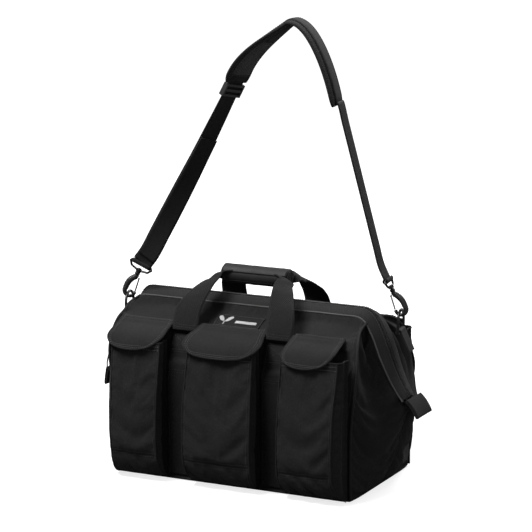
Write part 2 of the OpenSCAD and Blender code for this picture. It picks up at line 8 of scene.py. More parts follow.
import bpy
import numpy as np
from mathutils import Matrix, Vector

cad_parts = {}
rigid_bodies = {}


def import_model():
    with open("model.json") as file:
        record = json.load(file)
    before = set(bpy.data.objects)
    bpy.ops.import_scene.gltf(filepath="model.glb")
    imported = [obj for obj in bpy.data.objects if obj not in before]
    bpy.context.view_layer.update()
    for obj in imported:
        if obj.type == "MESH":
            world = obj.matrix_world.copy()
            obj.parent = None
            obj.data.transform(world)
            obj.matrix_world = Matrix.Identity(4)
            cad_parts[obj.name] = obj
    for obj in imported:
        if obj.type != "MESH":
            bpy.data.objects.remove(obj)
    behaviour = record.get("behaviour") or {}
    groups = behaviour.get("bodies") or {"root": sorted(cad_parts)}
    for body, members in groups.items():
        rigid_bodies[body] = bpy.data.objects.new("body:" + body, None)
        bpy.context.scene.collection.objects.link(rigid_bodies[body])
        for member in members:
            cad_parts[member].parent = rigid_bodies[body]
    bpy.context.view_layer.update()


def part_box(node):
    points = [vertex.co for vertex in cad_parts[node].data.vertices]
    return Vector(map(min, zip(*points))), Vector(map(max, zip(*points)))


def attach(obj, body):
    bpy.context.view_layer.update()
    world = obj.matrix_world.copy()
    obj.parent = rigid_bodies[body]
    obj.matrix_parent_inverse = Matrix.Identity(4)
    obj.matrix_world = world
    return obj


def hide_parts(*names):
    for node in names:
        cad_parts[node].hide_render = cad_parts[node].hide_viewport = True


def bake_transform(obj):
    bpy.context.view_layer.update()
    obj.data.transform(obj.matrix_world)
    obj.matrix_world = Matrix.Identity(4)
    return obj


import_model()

MM = 0.001
FRONT, REAR = -1, 1
SIDE_NAME = {FRONT: "front", REAR: "rear"}
scene = bpy.context.scene

# ---------------------------------------------------------------- materials


class Nodes:
    """Short way to write a node material."""

    def __init__(self, name):
        self.mat = bpy.data.materials.new(name)
        self.mat.use_nodes = True
        self.tree = self.mat.node_tree
        self.bsdf = self.tree.nodes["Principled BSDF"]
        self.coord = self.tree.nodes.new("ShaderNodeTexCoord")

    def add(self, kind, inputs=None, **settings):
        node = self.tree.nodes.new("ShaderNode" + kind)
        for key, value in settings.items():
            setattr(node, key, value)
        for key, value in (inputs or {}).items():
            if isinstance(value, bpy.types.NodeSocket):
                self.tree.links.new(value, node.inputs[key])
            else:
                node.inputs[key].default_value = value
        return node

    def math(self, kind, a, b=0.0, c=0.0):
        return self.add("Math", {0: a, 1: b, 2: c}, operation=kind).outputs[0]

    def noise(self, vector, scale, detail=3.0, rough=0.5):
        return self.add("TexNoise", {"Vector": vector, "Scale": scale, "Detail": detail,
                                     "Roughness": rough}).outputs["Fac"]

    def ramp(self, value, low, high, colors):
        node = self.add("ValToRGB", {"Fac": value})
        ends = node.color_ramp.elements
        ends[0].position, ends[1].position = low, high
        ends[0].color, ends[1].color = [tuple(c) + (1.0,) for c in colors]
        return node.outputs["Color"]

    def blend(self, kind, factor, a, b):
        node = self.add("Mix", {0: factor, 6: a, 7: b}, data_type="RGBA", blend_type=kind)
        return node.outputs[2]

    def finish(self, color, rough, height=None, bump=0.4, distance=0.0004, **extra):
        for key, value in dict(extra, **{"Base Color": color, "Roughness": rough}).items():
            key = key.replace("_", " ")
            if isinstance(value, bpy.types.NodeSocket):
                self.tree.links.new(value, self.bsdf.inputs[key])
            else:
                self.bsdf.inputs[key].default_value = value
        if height is not None:
            node = self.add("Bump", {"Height": height, "Strength": bump, "Distance": distance})
            self.tree.links.new(node.outputs["Normal"], self.bsdf.inputs["Normal"])
        return self.mat


def grey(level, warm=0.0):
    return (level * (1 + warm), level, level * (1 - warm), 1.0)


def woven(name, level, pitch, slant=0.0, warm=0.0, rough=0.93, bump=0.5, sheen=0.03, uv=True, wear=1.0):
    """Cloth with warp and weft threads; slant turns the plain weave into a diagonal twill."""
    n = Nodes(name)
    place = n.coord.outputs["UV" if uv else "Object"]
    parts = n.add("SeparateXYZ", {"Vector": place}).outputs
    turns = 2 * math.pi / pitch
    if slant:
        across = n.math("MULTIPLY", parts[0], turns)
        lean = n.math("MULTIPLY_ADD", parts[1], turns * slant, across)
        threads = n.math("SINE", lean)
        cross = n.math("SINE", n.math("MULTIPLY", parts[1], turns * 2.3))
        height = n.math("MULTIPLY_ADD", cross, 0.3, threads)
    else:
        warp = n.math("SINE", n.math("MULTIPLY", parts[0], turns))
        other = parts[1] if uv else n.math("ADD", parts[1], parts[2])
        weft = n.math("SINE", n.math("MULTIPLY", other, turns))
        height = n.math("MULTIPLY", warp, weft)
    spot = n.coord.outputs["Object"]
    cloudy = n.noise(spot, 14.0, 4.0, 0.6)
    fine = n.noise(spot, 420.0, 2.0, 0.6)
    base = n.ramp(cloudy, 0.3, 0.75, [grey(level * 0.82, warm)[:3], grey(level * 1.2, warm)[:3]])
    lint = n.ramp(fine, 0.45, 0.9, [grey(0.85)[:3], grey(1.0 + 0.9 * wear)[:3]])
    color = n.blend("MULTIPLY", 1.0, base, lint)
    thread = n.ramp(height, -0.6, 1.0, [grey(0.72)[:3], grey(1.16)[:3]])
    color = n.blend("MULTIPLY", 0.8, color, thread)
    soft = n.math("MULTIPLY_ADD", fine, 0.5, n.math("MULTIPLY", height, 0.5))
    roughness = n.math("MULTIPLY_ADD", cloudy, 0.18, rough - 0.09)
    return n.finish(color, roughness, soft, bump, 0.0004, Sheen_Weight=sheen,
                    Sheen_Roughness=0.6, Specular_IOR_Level=0.2)


def metal(name, level, rough, warm=0.0, scratches=0.15, metallic=1.0):
    n = Nodes(name)
    spot = n.coord.outputs["Object"]
    fine = n.noise(n.add("Mapping", {"Vector": spot, "Scale": (400.0, 90.0, 900.0)}).outputs[0], 1.0, 4.0, 0.65)
    smear = n.noise(spot, 60.0, 3.0)
    color = n.ramp(smear, 0.3, 0.8, [grey(level * 0.85, warm)[:3], grey(level, warm)[:3]])
    roughness = n.math("MULTIPLY_ADD", fine, scratches, rough - scratches / 2)
    return n.finish(color, roughness, fine, 0.08, 0.0002, Metallic=metallic)


def moulded(name, level, rough, pores=900.0):
    n = Nodes(name)
    spot = n.coord.outputs["Object"]
    grain = n.noise(spot, pores, 3.0, 0.6)
    smear = n.noise(spot, 45.0, 3.0)
    color = n.ramp(smear, 0.3, 0.75, [grey(level * 0.8)[:3], grey(level * 1.25)[:3]])
    roughness = n.math("MULTIPLY_ADD", smear, 0.2, rough - 0.1)
    return n.finish(color, roughness, grain, 0.25, 0.0003, Specular_IOR_Level=0.5)


def fuzzy(name, level, scale, bump=0.8):
    """Hook-and-loop pile, felted edges and other cloth without a visible weave."""
    n = Nodes(name)
    spot = n.coord.outputs["Object"]
    loops = n.add("TexVoronoi", {"Vector": spot, "Scale": scale}).outputs["Distance"]
    fine = n.noise(spot, scale * 1.6, 4.0, 0.7)
    color = n.ramp(loops, 0.0, 0.7, [grey(level * 1.35)[:3], grey(level * 0.6)[:3]])
    height = n.math("MULTIPLY_ADD", fine, 0.6, loops)
    return n.finish(color, 0.95, height, bump, 0.0006, Sheen_Weight=0.3, Specular_IOR_Level=0.2)


def mesh_fabric(name, level, pitch):
    """Spacer mesh with rows of small dark holes."""
    n = Nodes(name)
    parts = n.add("SeparateXYZ", {"Vector": n.coord.outputs["UV"]}).outputs
    turns = 2 * math.pi / pitch
    rows = n.math("SINE", n.math("MULTIPLY", parts[0], turns))
    posts = n.math("SINE", n.math("MULTIPLY_ADD", parts[1], turns * 0.8, n.math("MULTIPLY", parts[0], turns * 0.5)))
    holes = n.math("MULTIPLY", rows, posts)
    color = n.ramp(holes, -0.2, 0.5, [grey(level * 1.5)[:3], grey(level * 0.35)[:3]])
    return n.finish(color, 0.9, n.math("MULTIPLY", holes, -1.0), 1.0, 0.0009, Sheen_Weight=0.2,
                    Specular_IOR_Level=0.3)


MAT = {
    "cloth": woven("pack_cloth_weave", 0.0135, 0.0011),
    # flap cloth is the pack cloth made lighter: painted highlight standing in for the top light on the upward-facing
    # flaps
    "flap": woven("flap_cloth_painted_highlight", 0.0160, 0.0011),
    "lining": woven("lining_weave", 0.010, 0.0011),
    "webbing": woven("webbing_twill", 0.0125, 0.0042, slant=0.9, bump=0.9),
    "strap": woven("strap_twill", 0.0115, 0.0026, slant=1.2, bump=0.7, rough=0.7),
    "binding": woven("binding_rib", 0.0115, 0.0022, slant=0.01, bump=0.7, rough=0.75),
    "rim": woven("rim_rib", 0.0145, 0.0030, slant=0.01, bump=0.8, rough=0.8),
    "pad": woven("pad_cloth_weave", 0.0135, 0.0012, rough=0.8),
    "mesh": mesh_fabric("pad_spacer_mesh", 0.014, 0.0034),
    "thread": woven("stitch_thread", 0.115, 0.0009, warm=0.03, rough=0.8, uv=False, wear=0.4),
    "thread_dark": woven("dark_thread", 0.045, 0.0009, rough=0.8, uv=False, wear=0.4),
    "coil": moulded("zipper_coil", 0.016, 0.36),
    "tape": woven("zipper_tape", 0.0055, 0.0014),
    "label": woven("label_ground", 0.010, 0.0009, rough=0.75),
    "emblem": woven("label_emblem", 0.62, 0.0009, rough=0.8, sheen=0.05, wear=0.2),
    "loop": fuzzy("loop_pile", 0.006, 1500.0),
    "board": fuzzy("base_board", 0.016, 700.0, 0.3),
    "steel": metal("frame_wire_steel", 0.42, 0.32),
    "black_metal": metal("black_lacquered_metal", 0.018, 0.28, metallic=0.4),
    "gate": metal("gate_steel_bright", 0.55, 0.24),
    "plastic": moulded("hook_plastic", 0.017, 0.38),
    "grip": moulded("grip_foam", 0.0085, 0.68, 1300.0),
    "cord": woven("cord_braid", 0.013, 0.0016, slant=1.0, uv=False, rough=0.75),
}

# ------------------------------------------------------------ mesh helpers


def vec(*p):
    return np.array(p, dtype=float)


def unit(v):
    v = np.asarray(v, dtype=float)
    return v / np.maximum(np.linalg.norm(v, axis=-1, keepdims=True), 1e-9)


def bezier(a, b, c, d, n):
    t = np.linspace(0, 1, n + 1)[:, None]
    a, b, c, d = (np.asarray(p, dtype=float) for p in (a, b, c, d))
    return a * (1 - t) ** 3 + 3 * b * t * (1 - t) ** 2 + 3 * c * t * t * (1 - t) + d * t ** 3


def lengths(pts):
    steps = np.linalg.norm(np.diff(pts, axis=0), axis=1)
    return np.concatenate([[0.0], np.cumsum(steps)])


def resample(pts, n=None, step=None):
    pts = np.asarray(pts, dtype=float)
    run = lengths(pts)
    n = n or max(2, int(round(run[-1] / step)) + 1)
    at = np.linspace(0, run[-1], n)
    return np.stack([np.interp(at, run, pts[:, k]) for k in range(pts.shape[1])], axis=1)


def smooth_path(pts, n, rounds=3):
    """Rounded path through a few points, ends kept."""
    pts = resample(pts, n * 2)
    for _ in range(rounds):
        inner = pts[1:-1] * 0.5 + (pts[:-2] + pts[2:]) * 0.25
        pts = np.concatenate([pts[:1], inner, pts[-1:]])
    return resample(pts, n)


def spline(pts, n):
    """Catmull-Rom curve through the points, evenly spaced."""
    p = np.asarray(pts, dtype=float)
    p = np.concatenate([[2 * p[0] - p[1]], p, [2 * p[-1] - p[-2]]])
    out = []
    for i in range(1, len(p) - 2):
        t = np.linspace(0, 1, 24, endpoint=False)[:, None]
        a, b, c, d = p[i - 1:i + 3]
        out.append(0.5 * (2 * b + (c - a) * t + (2 * a - 5 * b + 4 * c - d) * t ** 2
                          + (3 * b - 3 * c + d - a) * t ** 3))
    return resample(np.concatenate(out + [p[-2][None]]), n)


def waves(u, v, seed, scale, octaves=4):
    """Smooth repeatable bumps between about -1 and 1 over two coordinates in millimetres."""
    rng = np.random.default_rng(seed)
    total = np.zeros(np.broadcast(u, v).shape)
    size, gain = 1.0 / scale, 1.0
    for _ in range(octaves):
        for _ in range(3):
            turn = rng.uniform(0, 2 * math.pi)
            shift = rng.uniform(0, 2 * math.pi)
            total = total + gain * np.sin(2 * math.pi * size * (u * math.cos(turn) + v * math.sin(turn)) + shift)
        size, gain = size * 1.9, gain * 0.5
    return total / 4.0


def object_from(name, verts, faces, mat, body=None, uvs=None, slot=None, mats=None, index=None):
    """One smooth-shaded piece in metres, riding on its body."""
    mesh = bpy.data.meshes.new(name)
    verts = np.asarray(verts, dtype=float) * MM
    mesh.from_pydata(verts.tolist(), [], faces)
    if uvs is not None:
        layer = mesh.uv_layers.new(name="UVMap")
        flat = np.asarray(uvs, dtype=float)[[loop.vertex_index for loop in mesh.loops]] * MM
        layer.data.foreach_set("uv", flat.ravel())
    for m in mats or [mat]:
        mesh.materials.append(MAT[m] if isinstance(m, str) else m)
    mesh.polygons.foreach_set("use_smooth", [True] * len(mesh.polygons))
    if index is not None:
        mesh.polygons.foreach_set("material_index", index)
    mesh.update()
    obj = bpy.data.objects.new(name, mesh)
    scene.collection.objects.link(obj)
    if body:
        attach(obj, body)
    return obj


def thicken(obj, amount, offset=-1.0):
    mod = obj.modifiers.new("Thickness", "SOLIDIFY")
    mod.thickness = amount * MM
    mod.offset = offset
    return obj


def refine(obj, levels=1):
    mod = obj.modifiers.new("Rounding", "SUBSURF")
    mod.levels = mod.render_levels = levels
    return obj


def quads(nu, nv, wrap=False):
    rows = np.arange(nu - 1)[:, None]
    cols = np.arange(nv if wrap else nv - 1)[None, :]
    nxt = (cols + 1) % nv
    f = np.stack([rows * nv + cols, (rows + 1) * nv + cols, (rows + 1) * nv + nxt, rows * nv + nxt], axis=-1)
    return f.reshape(-1, 4).tolist()


class Sheet:
    """A grid of points in millimetres, rows down and columns across, seen from its good side."""

    def __init__(self, pts, flip=False):
        self.pts = np.asarray(pts, dtype=float)
        self.flip = flip

    def at(self, u, v):
        """Point at fractions u down the rows and v across the columns."""
        nu, nv = self.pts.shape[:2]
        u = np.clip(np.asarray(u, dtype=float), 0, 1) * (nu - 1)
        v = np.clip(np.asarray(v, dtype=float), 0, 1) * (nv - 1)
        i = np.minimum(u.astype(int), nu - 2)
        j = np.minimum(v.astype(int), nv - 2)
        fu, fv = (u - i)[..., None], (v - j)[..., None]
        p = self.pts
        return (p[i, j] * (1 - fu) * (1 - fv) + p[i + 1, j] * fu * (1 - fv)
                + p[i, j + 1] * (1 - fu) * fv + p[i + 1, j + 1] * fu * fv)

    def normal(self, u, v):
        d = 0.012
        du = self.at(np.minimum(np.asarray(u) + d, 1), v) - self.at(np.maximum(np.asarray(u) - d, 0), v)
        dv = self.at(u, np.minimum(np.asarray(v) + d, 1)) - self.at(u, np.maximum(np.asarray(v) - d, 0))
        n = unit(np.cross(du, dv))
        return -n if self.flip else n

    def faces(self):
        f = quads(*self.pts.shape[:2])
        return [q[::-1] for q in f] if self.flip else f

    def uvs(self):
        p = self.pts
        du = np.linalg.norm(np.diff(p, axis=0), axis=2)
        dv = np.linalg.norm(np.diff(p, axis=1), axis=2)
        u = np.concatenate([np.zeros((1, p.shape[1])), np.cumsum(du, axis=0)])
        v = np.concatenate([np.zeros((p.shape[0], 1)), np.cumsum(dv, axis=1)], axis=1)
        return np.stack([v, u], axis=-1).reshape(-1, 2)

    def build(self, name, mat, body=None, thick=1.6, slot="pack_cloth", offset=-1.0, sub=0, **more):
        obj = object_from(name, self.pts.reshape(-1, 3), self.faces(), mat, body, self.uvs(), slot, **more)
        if thick:
            thicken(obj, thick, offset)
        if sub:
            refine(obj, sub)
        return obj


def settle(sheet, pinned, cap, frames=16, grow=0.02, pressure=0.0, gravity=1.0, bend=0.4, stiff=12.0, lift=None):
    """Let cloth hang between its seams: pinned vertices stay, no point moves more than the cap."""
    shape = sheet.pts.shape
    obj = object_from("settling", sheet.pts.reshape(-1, 3), sheet.faces(), "cloth")
    group = obj.vertex_groups.new(name="pins")
    for i in np.flatnonzero(np.asarray(pinned).ravel()).tolist():
        group.add([i], 1.0, "REPLACE")
    mod = obj.modifiers.new("Cloth", "CLOTH")
    cloth = mod.settings
    cloth.quality = 6
    cloth.mass = 0.25
    cloth.tension_stiffness = cloth.compression_stiffness = stiff
    cloth.shear_stiffness = 4.0
    cloth.bending_stiffness = bend
    cloth.air_damping = 6.0
    cloth.vertex_group_mass = "pins"
    cloth.shrink_min = -grow
    cloth.effector_weights.gravity = gravity
    if pressure:
        cloth.use_pressure = True
        cloth.uniform_pressure_force = pressure
    mod.collision_settings.use_collision = False
    mod.collision_settings.use_self_collision = False
    mod.point_cache.frame_start, mod.point_cache.frame_end = 1, frames
    scene.frame_set(1)
    for f in range(1, frames + 1):
        scene.frame_set(f)
    result = obj.evaluated_get(bpy.context.evaluated_depsgraph_get()).to_mesh()
    got = np.empty(len(result.vertices) * 3)
    result.vertices.foreach_get("co", got)
    got = got.reshape(shape) / MM
    bpy.data.objects.remove(obj, do_unlink=True)
    scene.frame_set(1)
    move = got - sheet.pts
    size = np.linalg.norm(move, axis=-1, keepdims=True)
    move *= np.minimum(1.0, cap / np.maximum(size, 1e-6))
    sheet.pts = sheet.pts + np.nan_to_num(move)
    return sheet


def tube(name, path, radius, mat, body=None, slot=None, sides=14, wrap=False):
    """Round rod along a path; the radius may change along it."""
    path = np.asarray(path, dtype=float)
    n = len(path)
    radius = np.broadcast_to(np.asarray(radius, dtype=float), (n,))
    tang = unit(np.gradient(path, axis=0))
    if wrap:
        tang = unit(np.roll(path, -1, 0) - np.roll(path, 1, 0))
    ref = unit(np.cross(tang[0], vec(0.31, 0.2, 0.93)))
    verts = []
    for i in range(n):
        ref = unit(ref - tang[i] * np.dot(ref, tang[i]))
        other = np.cross(tang[i], ref)
        a = np.linspace(0, 2 * math.pi, sides, endpoint=False)[:, None]
        verts.append(path[i] + radius[i] * (np.cos(a) * ref + np.sin(a) * other))
    faces = quads(n, sides, wrap=True)
    run = lengths(path)
    around = np.linspace(0, 2 * math.pi * radius.max(), sides, endpoint=False)
    uvs = np.stack(np.broadcast_arrays(around[None, :], run[:, None]), axis=-1).reshape(-1, 2)
    if wrap:
        last = (n - 1) * sides
        faces += [[last + k, k, (k + 1) % sides, last + (k + 1) % sides] for k in range(sides)]
    else:
        faces += [list(range(sides))[::-1], [(n - 1) * sides + k for k in range(sides)]]
    faces = [f[::-1] for f in faces]
    return object_from(name, np.concatenate(verts), faces, mat, body, uvs, slot)


def ribbon_sheet(path, across, width, crown=0.0, cols=7):
    """Flat band along a path; across is the direction of its width at each point."""
    path, across = np.asarray(path, dtype=float), unit(across)
    across = np.broadcast_to(across, path.shape)
    face = unit(np.cross(np.gradient(path, axis=0), across))
    v = np.linspace(-1, 1, cols)
    half = np.broadcast_to(np.asarray(width, dtype=float) / 2, (len(path),))
    pts = (path[:, None] + across[:, None] * v[None, :, None] * half[:, None, None]
           + face[:, None] * (crown * (1 - v ** 2))[None, :, None])
    return Sheet(pts)


def spaced(pts, pitch):
    """Middles and directions of stitches set at a pitch along a line of points."""
    pts = np.asarray(pts, dtype=float)
    run = lengths(pts)
    count = max(1, int(run[-1] / pitch))
    at = (np.arange(count) + 0.5) * run[-1] / count
    mid = np.stack([np.interp(at, run, pts[:, k]) for k in range(3)], axis=1)
    ahead = np.stack([np.interp(at + 0.5, run, pts[:, k]) for k in range(3)], axis=1)
    back = np.stack([np.interp(at - 0.5, run, pts[:, k]) for k in range(3)], axis=1)
    return mid, unit(ahead - back)


def stitch_mesh(lines, length=3.2, pitch=4.2, half=0.5, rise=0.5):
    """Threads lying along lines of (points, normals): each a small rounded lozenge."""
    ring = [(0.0, 0.0), (0.22, 1.0), (0.78, 1.0), (1.0, 0.0)]
    verts, faces = [], []
    for pts, normals in lines:
        pts = np.asarray(pts, dtype=float)
        if len(pts) < 2 or lengths(pts)[-1] < pitch:
            continue
        mid, way = spaced(pts, pitch)
        run = lengths(pts)
        normals = np.broadcast_to(normals, pts.shape)
        at = np.linspace(0, run[-1], len(mid))
        up = unit(np.stack([np.interp(at, run, normals[:, k]) for k in range(3)], axis=1))
        side = unit(np.cross(way, up))
        for m, w, n, s in zip(mid, way, up, side):
            base = len(verts)
            a, b = m - w * length / 2, m + w * length / 2
            verts.append(a - n * 0.2)
            for t, k in ring[1:3]:
                c = a * (1 - t) + b * t
                verts += [c + s * half * k, c + n * rise * k, c - s * half * k, c - n * 0.3]
            verts.append(b - n * 0.2)
            for k in range(4):
                k2 = (k + 1) % 4
                faces.append([base, base + 1 + k, base + 1 + k2])
                faces.append([base + 1 + k, base + 5 + k, base + 5 + k2, base + 1 + k2])
                faces.append([base + 9, base + 5 + k2, base + 5 + k])
    return verts, faces


def stitches(name, lines, body=None, mat="thread", **size):
    verts, faces = stitch_mesh(lines, **size)
    return object_from(name, verts, faces, mat, body, slot="binding_tape")


def on_sheet(sheet, u, v, n=60, lift=0.25):
    """A line of points just above a sheet, with its normals, between fractions u and v."""
    u, v = np.atleast_1d(u).astype(float), np.atleast_1d(v).astype(float)
    t = np.linspace(0, 1, n)
    uu = np.interp(t, np.linspace(0, 1, len(u)), u)
    vv = np.interp(t, np.linspace(0, 1, len(v)), v)
    normal = sheet.normal(uu, vv)
    return sheet.at(uu, vv) + normal * lift, normal


# ------------------------------------------------------- shape of the bag

HALF_L, HALF_W = 228.5, 128.0
HINGE_Z, RIDGE_Z = 152.0, 315.0
RIM_IN, RIM_OUT, RIM_DROP = 5.0, 31.0, 13.0
STRIPS = {FRONT: (-97.0, 85.0), REAR: (-109.0, 58.0)}
STRIP_W = 50.0
TOP, LOW = vec(-240, 272), vec(-288, 211)
ZIP_DIR = unit(TOP - LOW)


def zipper_line():
    low = bezier((-292, 158), (-294, 182), LOW - ZIP_DIR * 12, LOW, 14)
    high = bezier(TOP, (-244, 290), (-243, RIDGE_Z), (-222, RIDGE_Z), 14)
    right = bezier((196, RIDGE_Z), (240, 309), (240, 222), (291, 157), 30)
    line = resample(np.concatenate([low, high, right]), 241)
    for _ in range(3):
        line[1:-1] = line[1:-1] * 0.5 + (line[:-2] + line[2:]) * 0.25
    return line


ZIP = zipper_line()
ZIP_ALONG = unit(np.gradient(ZIP, axis=0))
ZIP_IN = np.stack([ZIP_ALONG[:, 1], -ZIP_ALONG[:, 0]], axis=1)


def mouth(s, depth, across):
    """Points of the mouth at fractions s of the zipper line, below it and out from the middle."""
    s = np.asarray(s, dtype=float) * (len(ZIP) - 1)
    index = np.arange(len(ZIP))
    p = np.stack([np.interp(s, index, ZIP[:, k]) for k in (0, 1)], axis=-1)
    n = np.stack([np.interp(s, index, ZIP_IN[:, k]) for k in (0, 1)], axis=-1)
    depth, across = np.asarray(depth, dtype=float), np.asarray(across, dtype=float)
    flat = np.interp(p[..., 1], [270, 302, 314], [0.5, 0.65, 0.78])
    wide = np.interp(p[..., 1], [152, 190, 240, 285, 312], [0.72, 0.92, 1.16, 1.14, 1.0])
    wide = np.where(across < 6, 1.0, wide)
    p = p + n * (depth * np.where(depth < 14, flat, 1.0 - 14 * (1 - flat) / np.maximum(depth, 14)))[..., None]
    return np.stack([p[..., 0], across * wide, p[..., 1]], axis=-1)


def zip_at(x):
    """Fraction of the zipper line whose rim edge lies at a sideways place."""
    s = np.linspace(0, 1, 600)
    edge = mouth(s, np.full(600, RIM_DROP), np.full(600, RIM_OUT))
    if x > 0:
        return float(s[np.argmax(edge[:, 0] > x)])
    return float(s[np.argmax(edge[:, 0] > x)])


SHELL_X = {-1: 229.0, 1: 213.0}
S_LEFT, S_RIGHT = zip_at(-SHELL_X[-1]), zip_at(SHELL_X[1])


def blend_rim(obj):
    """Bake the placement of cloth between the bag and a rim into its mesh; it does not turn as the mouth opens."""
    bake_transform(obj)


# Out from the middle, height and half width of a long wall, rim to base
SHOULDER_TUCK = {FRONT: 0.0, REAR: 17.0}
SHELL_ROWS = [(56, 297, 214.5), (80, 287.5, 220), (100, 276.5, 227), (115, 260, 233), (124.5, 240, 237),
              (128.5, 218, 238), (130, 187, 235), (130, 149, 230), (129.5, 100, 227.5), (129, 50, 227.5),
              (128, 4, 228)]


def shell_sheet(side):
    cols = 93
    s = np.linspace(S_LEFT, S_RIGHT, cols)
    top = mouth(s, np.full(cols, RIM_DROP + 0.5), np.full(cols, RIM_OUT))
    share = (top[:, 0] - top[0, 0]) / (top[-1, 0] - top[0, 0])
    keys = [np.concatenate([top[:, :1], np.abs(top[:, 1:2]), top[:, 2:]], axis=1)]
    for y, z, x in SHELL_ROWS:
        dip = (keys[0][:, 2] - keys[0][cols // 2, 2]) * max(0.0, 1 - (y - RIM_OUT) / 60) ** 1.5
        left = x + 8.0 * max(0.0, 1 - (y - RIM_OUT) / 60)
        tuck = np.interp(z, [187, 218, 240, 285, 297], [0, 0.55, 0.9, 1.0, 0.2])
        left += np.interp(z, [187, 240, 270, 287, 297], [0, 1, 5, 12, 17])
        right = x - tuck * SHOULDER_TUCK[side]
        row = np.stack([-left * (1 - share) + right * share, np.full(cols, y), z + dip], axis=1)
        keys.append(row)
    keys = np.array(keys)
    rows = 78
    pts = np.stack([spline(keys[:, c], rows) for c in range(cols)], axis=1)
    u = np.linspace(0, 1, rows)[:, None]
    v = np.linspace(0, 1, cols)[None, :]
    hold = np.sin(np.pi * v) ** 0.4
    soft = np.clip(u / 0.10, 0, 1) * np.clip((1 - u) / 0.1, 0, 1)
    bumps = waves(pts[..., 0], pts[..., 2] * 1.6, 11 + side, 95.0)
    fall = np.clip(1 - u / 0.42, 0, 1)
    out = (bumps * 2.0 * fall + 0.6 * bumps) * soft * hold
    sag = -3.0 * np.sin(np.pi * np.clip(u / 0.22, 0, 1)) * (0.6 + 0.4 * np.cos(6 * np.pi * v))
    pts[..., 1] += out * 0.75
    pts[..., 2] += (out * 0.8 + sag) * (u < 0.45)
    pts[..., 1] *= side
    pts[..., 1] = np.where(side * pts[..., 1] > 0, pts[..., 1], side)
    sheet = Sheet(pts, flip=side > 0)
    pins = np.zeros((rows, cols), bool)
    pins[0] = pins[-1] = pins[:, 0] = pins[:, -1] = True
    pins[int(rows * 0.42):] = True
    near_seam = np.argmin(np.abs(side * pts[:, cols // 2, 1] - 101))
    pins[near_seam:near_seam + 2] = True
    settle(sheet, pins, 7.0, frames=14, grow=0.05, bend=0.2, gravity=0.4)
    return sheet


SHELL = {side: shell_sheet(side) for side in (FRONT, REAR)}


def shell_v(side, x, u):
    """Fraction across a shell at which its sideways place is x, for a row fraction u."""
    v = np.linspace(0, 1, 200)
    xs = SHELL[side].at(np.full(200, u), v)[:, 0]
    return float(np.interp(x, xs, v))


def shell_u(side, out):
    """Row fraction at which a shell is a given distance out from the middle."""
    u = np.linspace(0, 0.5, 300)
    ys = np.abs(SHELL[side].at(u, np.full(300, 0.5))[:, 1])
    return float(u[np.argmax(ys >= out)])


for side in (FRONT, REAR):
    name = SIDE_NAME[side]
    shell = SHELL[side].build(name + "_shell", "cloth", thick=2.0)
    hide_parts(name + "_panel", name + "_upper_panel")
    blend_rim(shell)

# ------------------------------------------------- end walls and their folds

TAB_S = {-1: 0.035, 1: 0.965}


def bump(x, centre, wide, sharp=1.0):
    """Soft hill around a centre; the sharp side falls off faster."""
    d = (x - centre) / wide
    return np.exp(-np.where(d < 0, d * sharp, d) ** 2)


T_TAB = 0.52


